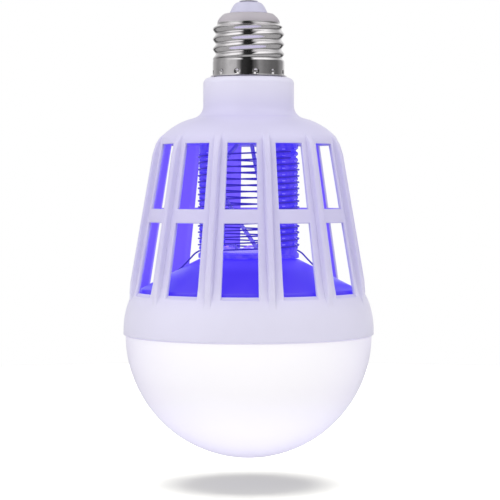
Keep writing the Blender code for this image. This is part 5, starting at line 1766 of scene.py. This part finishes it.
def make_walls(tree, parts):
    """The panels round the sides, from a direction's angle to the front."""
    back = sum_of(tree, "MULTIPLY", parts.outputs["Y"], -1.0)
    turn = sum_of(tree, "ARCTAN2", parts.outputs["X"], back)
    share = sum_of(tree, "MULTIPLY_ADD", turn, 0.5 / math.pi)
    share.node.inputs[2].default_value = 0.5
    ramp = add_node(tree, "ShaderNodeValToRGB", {"Fac": share})
    ramp.color_ramp.interpolation = "EASE"
    elements = ramp.color_ramp.elements
    for place, (turned, level) in enumerate(PANELS):
        position = (turned + 180) / 360
        element = elements[place] if place < 2 else elements.new(position)
        element.position = position
        element.color = grey(level)
    return ramp.outputs["Color"]


def make_panels(tree, direction):
    """The walls, with the ceiling over them, the ground under them and the strip across both."""
    parts = add_node(tree, "ShaderNodeSeparateXYZ", {0: direction})
    beside = sum_of(tree, "ABSOLUTE", sum_of(tree, "ADD", parts.outputs["X"], STRIP_SIDE))
    off_strip = ramp_up(tree, beside, *STRIP_EDGES)
    high = ramp_up(tree, parts.outputs["Z"], *CEILING_EDGES)
    low = ramp_up(tree, parts.outputs["Z"], *GROUND_EDGES)
    behind = ramp_up(tree, parts.outputs["Y"], *REAR_EDGES)
    ceiling = blend_colours(tree, off_strip, STRIP, blend_colours(tree, behind, CEILING, REAR_CEILING))
    ground = blend_colours(tree, off_strip, STRIP, GROUND)
    return blend_colours(tree, low, blend_colours(tree, high, make_walls(tree, parts), ceiling), ground)


print("panels that polished metal sees:", len(PANELS))

# %% [markdown]
# ## Light: world
# Everything that isn't polished gets a plain white sky, a little weaker from above, which keeps the
# shoulder from clipping, and hardly different from left to right. The camera sees the sky as pure
# white behind the lamp.

# %% Light: world
SKY_LEVEL = 1.09
SKY_SIDE = -0.01
SKY_LIFT = -0.10
WHITE = grey(1.0)


def make_world():
    world = bpy.data.worlds.new("studio")
    world.use_nodes = True
    bpy.context.scene.world = world
    tree = world.node_tree
    background = tree.nodes["Background"]
    direction = add_node(tree, "ShaderNodeTexCoord").outputs["Generated"]
    parts = add_node(tree, "ShaderNodeSeparateXYZ", {0: direction})
    side = sum_of(tree, "MULTIPLY", parts.outputs["X"], -SKY_SIDE)
    lifted = sum_of(tree, "MULTIPLY", parts.outputs["Z"], SKY_LIFT)
    level = sum_of(tree, "ADD", sum_of(tree, "ADD", side, lifted), SKY_LEVEL)
    sky = add_node(tree, "ShaderNodeCombineXYZ", {"X": level, "Y": level, "Z": level}).outputs[0]
    path = tree.nodes.new("ShaderNodeLightPath")
    light = blend_colours(tree, path.outputs["Is Glossy Ray"], sky, make_panels(tree, direction))
    seen = blend_colours(tree, path.outputs["Is Camera Ray"], light, WHITE)
    tree.links.new(seen, background.inputs["Color"])
    background.inputs["Strength"].default_value = 1.0
    return world


world = make_world()
print("world nodes:", len(world.node_tree.nodes))

# %% [markdown]
# ## Light: lamps
# Under an even sky the shadow of a ball this size is wide and weak, but the one in the picture is
# small and dark. It takes a light straight above that reaches the paper alone. Light linking gives
# a lamp its own list of receivers, and the dome still blocks it. The other lamp is a weak key from
# the front left, for a little shape on the bars. Neither shows in the metal. The view transform is
# plain, so a colour renders about as it is written.

# %% Light: lamps
KEY = {"place": (-0.60, -0.75, 0.45), "aim": (0.0, 0.0, -0.09), "size": 0.5, "power": 1.0}
PAPER_LAMP = {"place": (0.0, 0.0, 0.47), "aim": (0.0, 0.0, 0.0), "size": 0.81, "power": 16.0}


def soft_lamp(name, place, aim, size, power):
    """A round area lamp that mirrors don't see."""
    data = bpy.data.lights.new(name, "AREA")
    data.shape = "ELLIPSE"
    data.size = data.size_y = size
    data.energy = power
    lamp = bpy.data.objects.new(name, data)
    lamp.location = place
    lamp.rotation_euler = (Vector(place) - Vector(aim)).to_track_quat("Z", "Y").to_euler()
    lamp.visible_glossy = False
    bpy.context.scene.collection.objects.link(lamp)
    return lamp


soft_lamp("key", **KEY)
paper_lamp = soft_lamp("paper_lamp", **PAPER_LAMP)
receivers = bpy.data.collections.new("paper_lamp_receivers")
receivers.objects.link(floor)
paper_lamp.light_linking.receiver_collection = receivers
bpy.context.scene.view_settings.view_transform = "Standard"
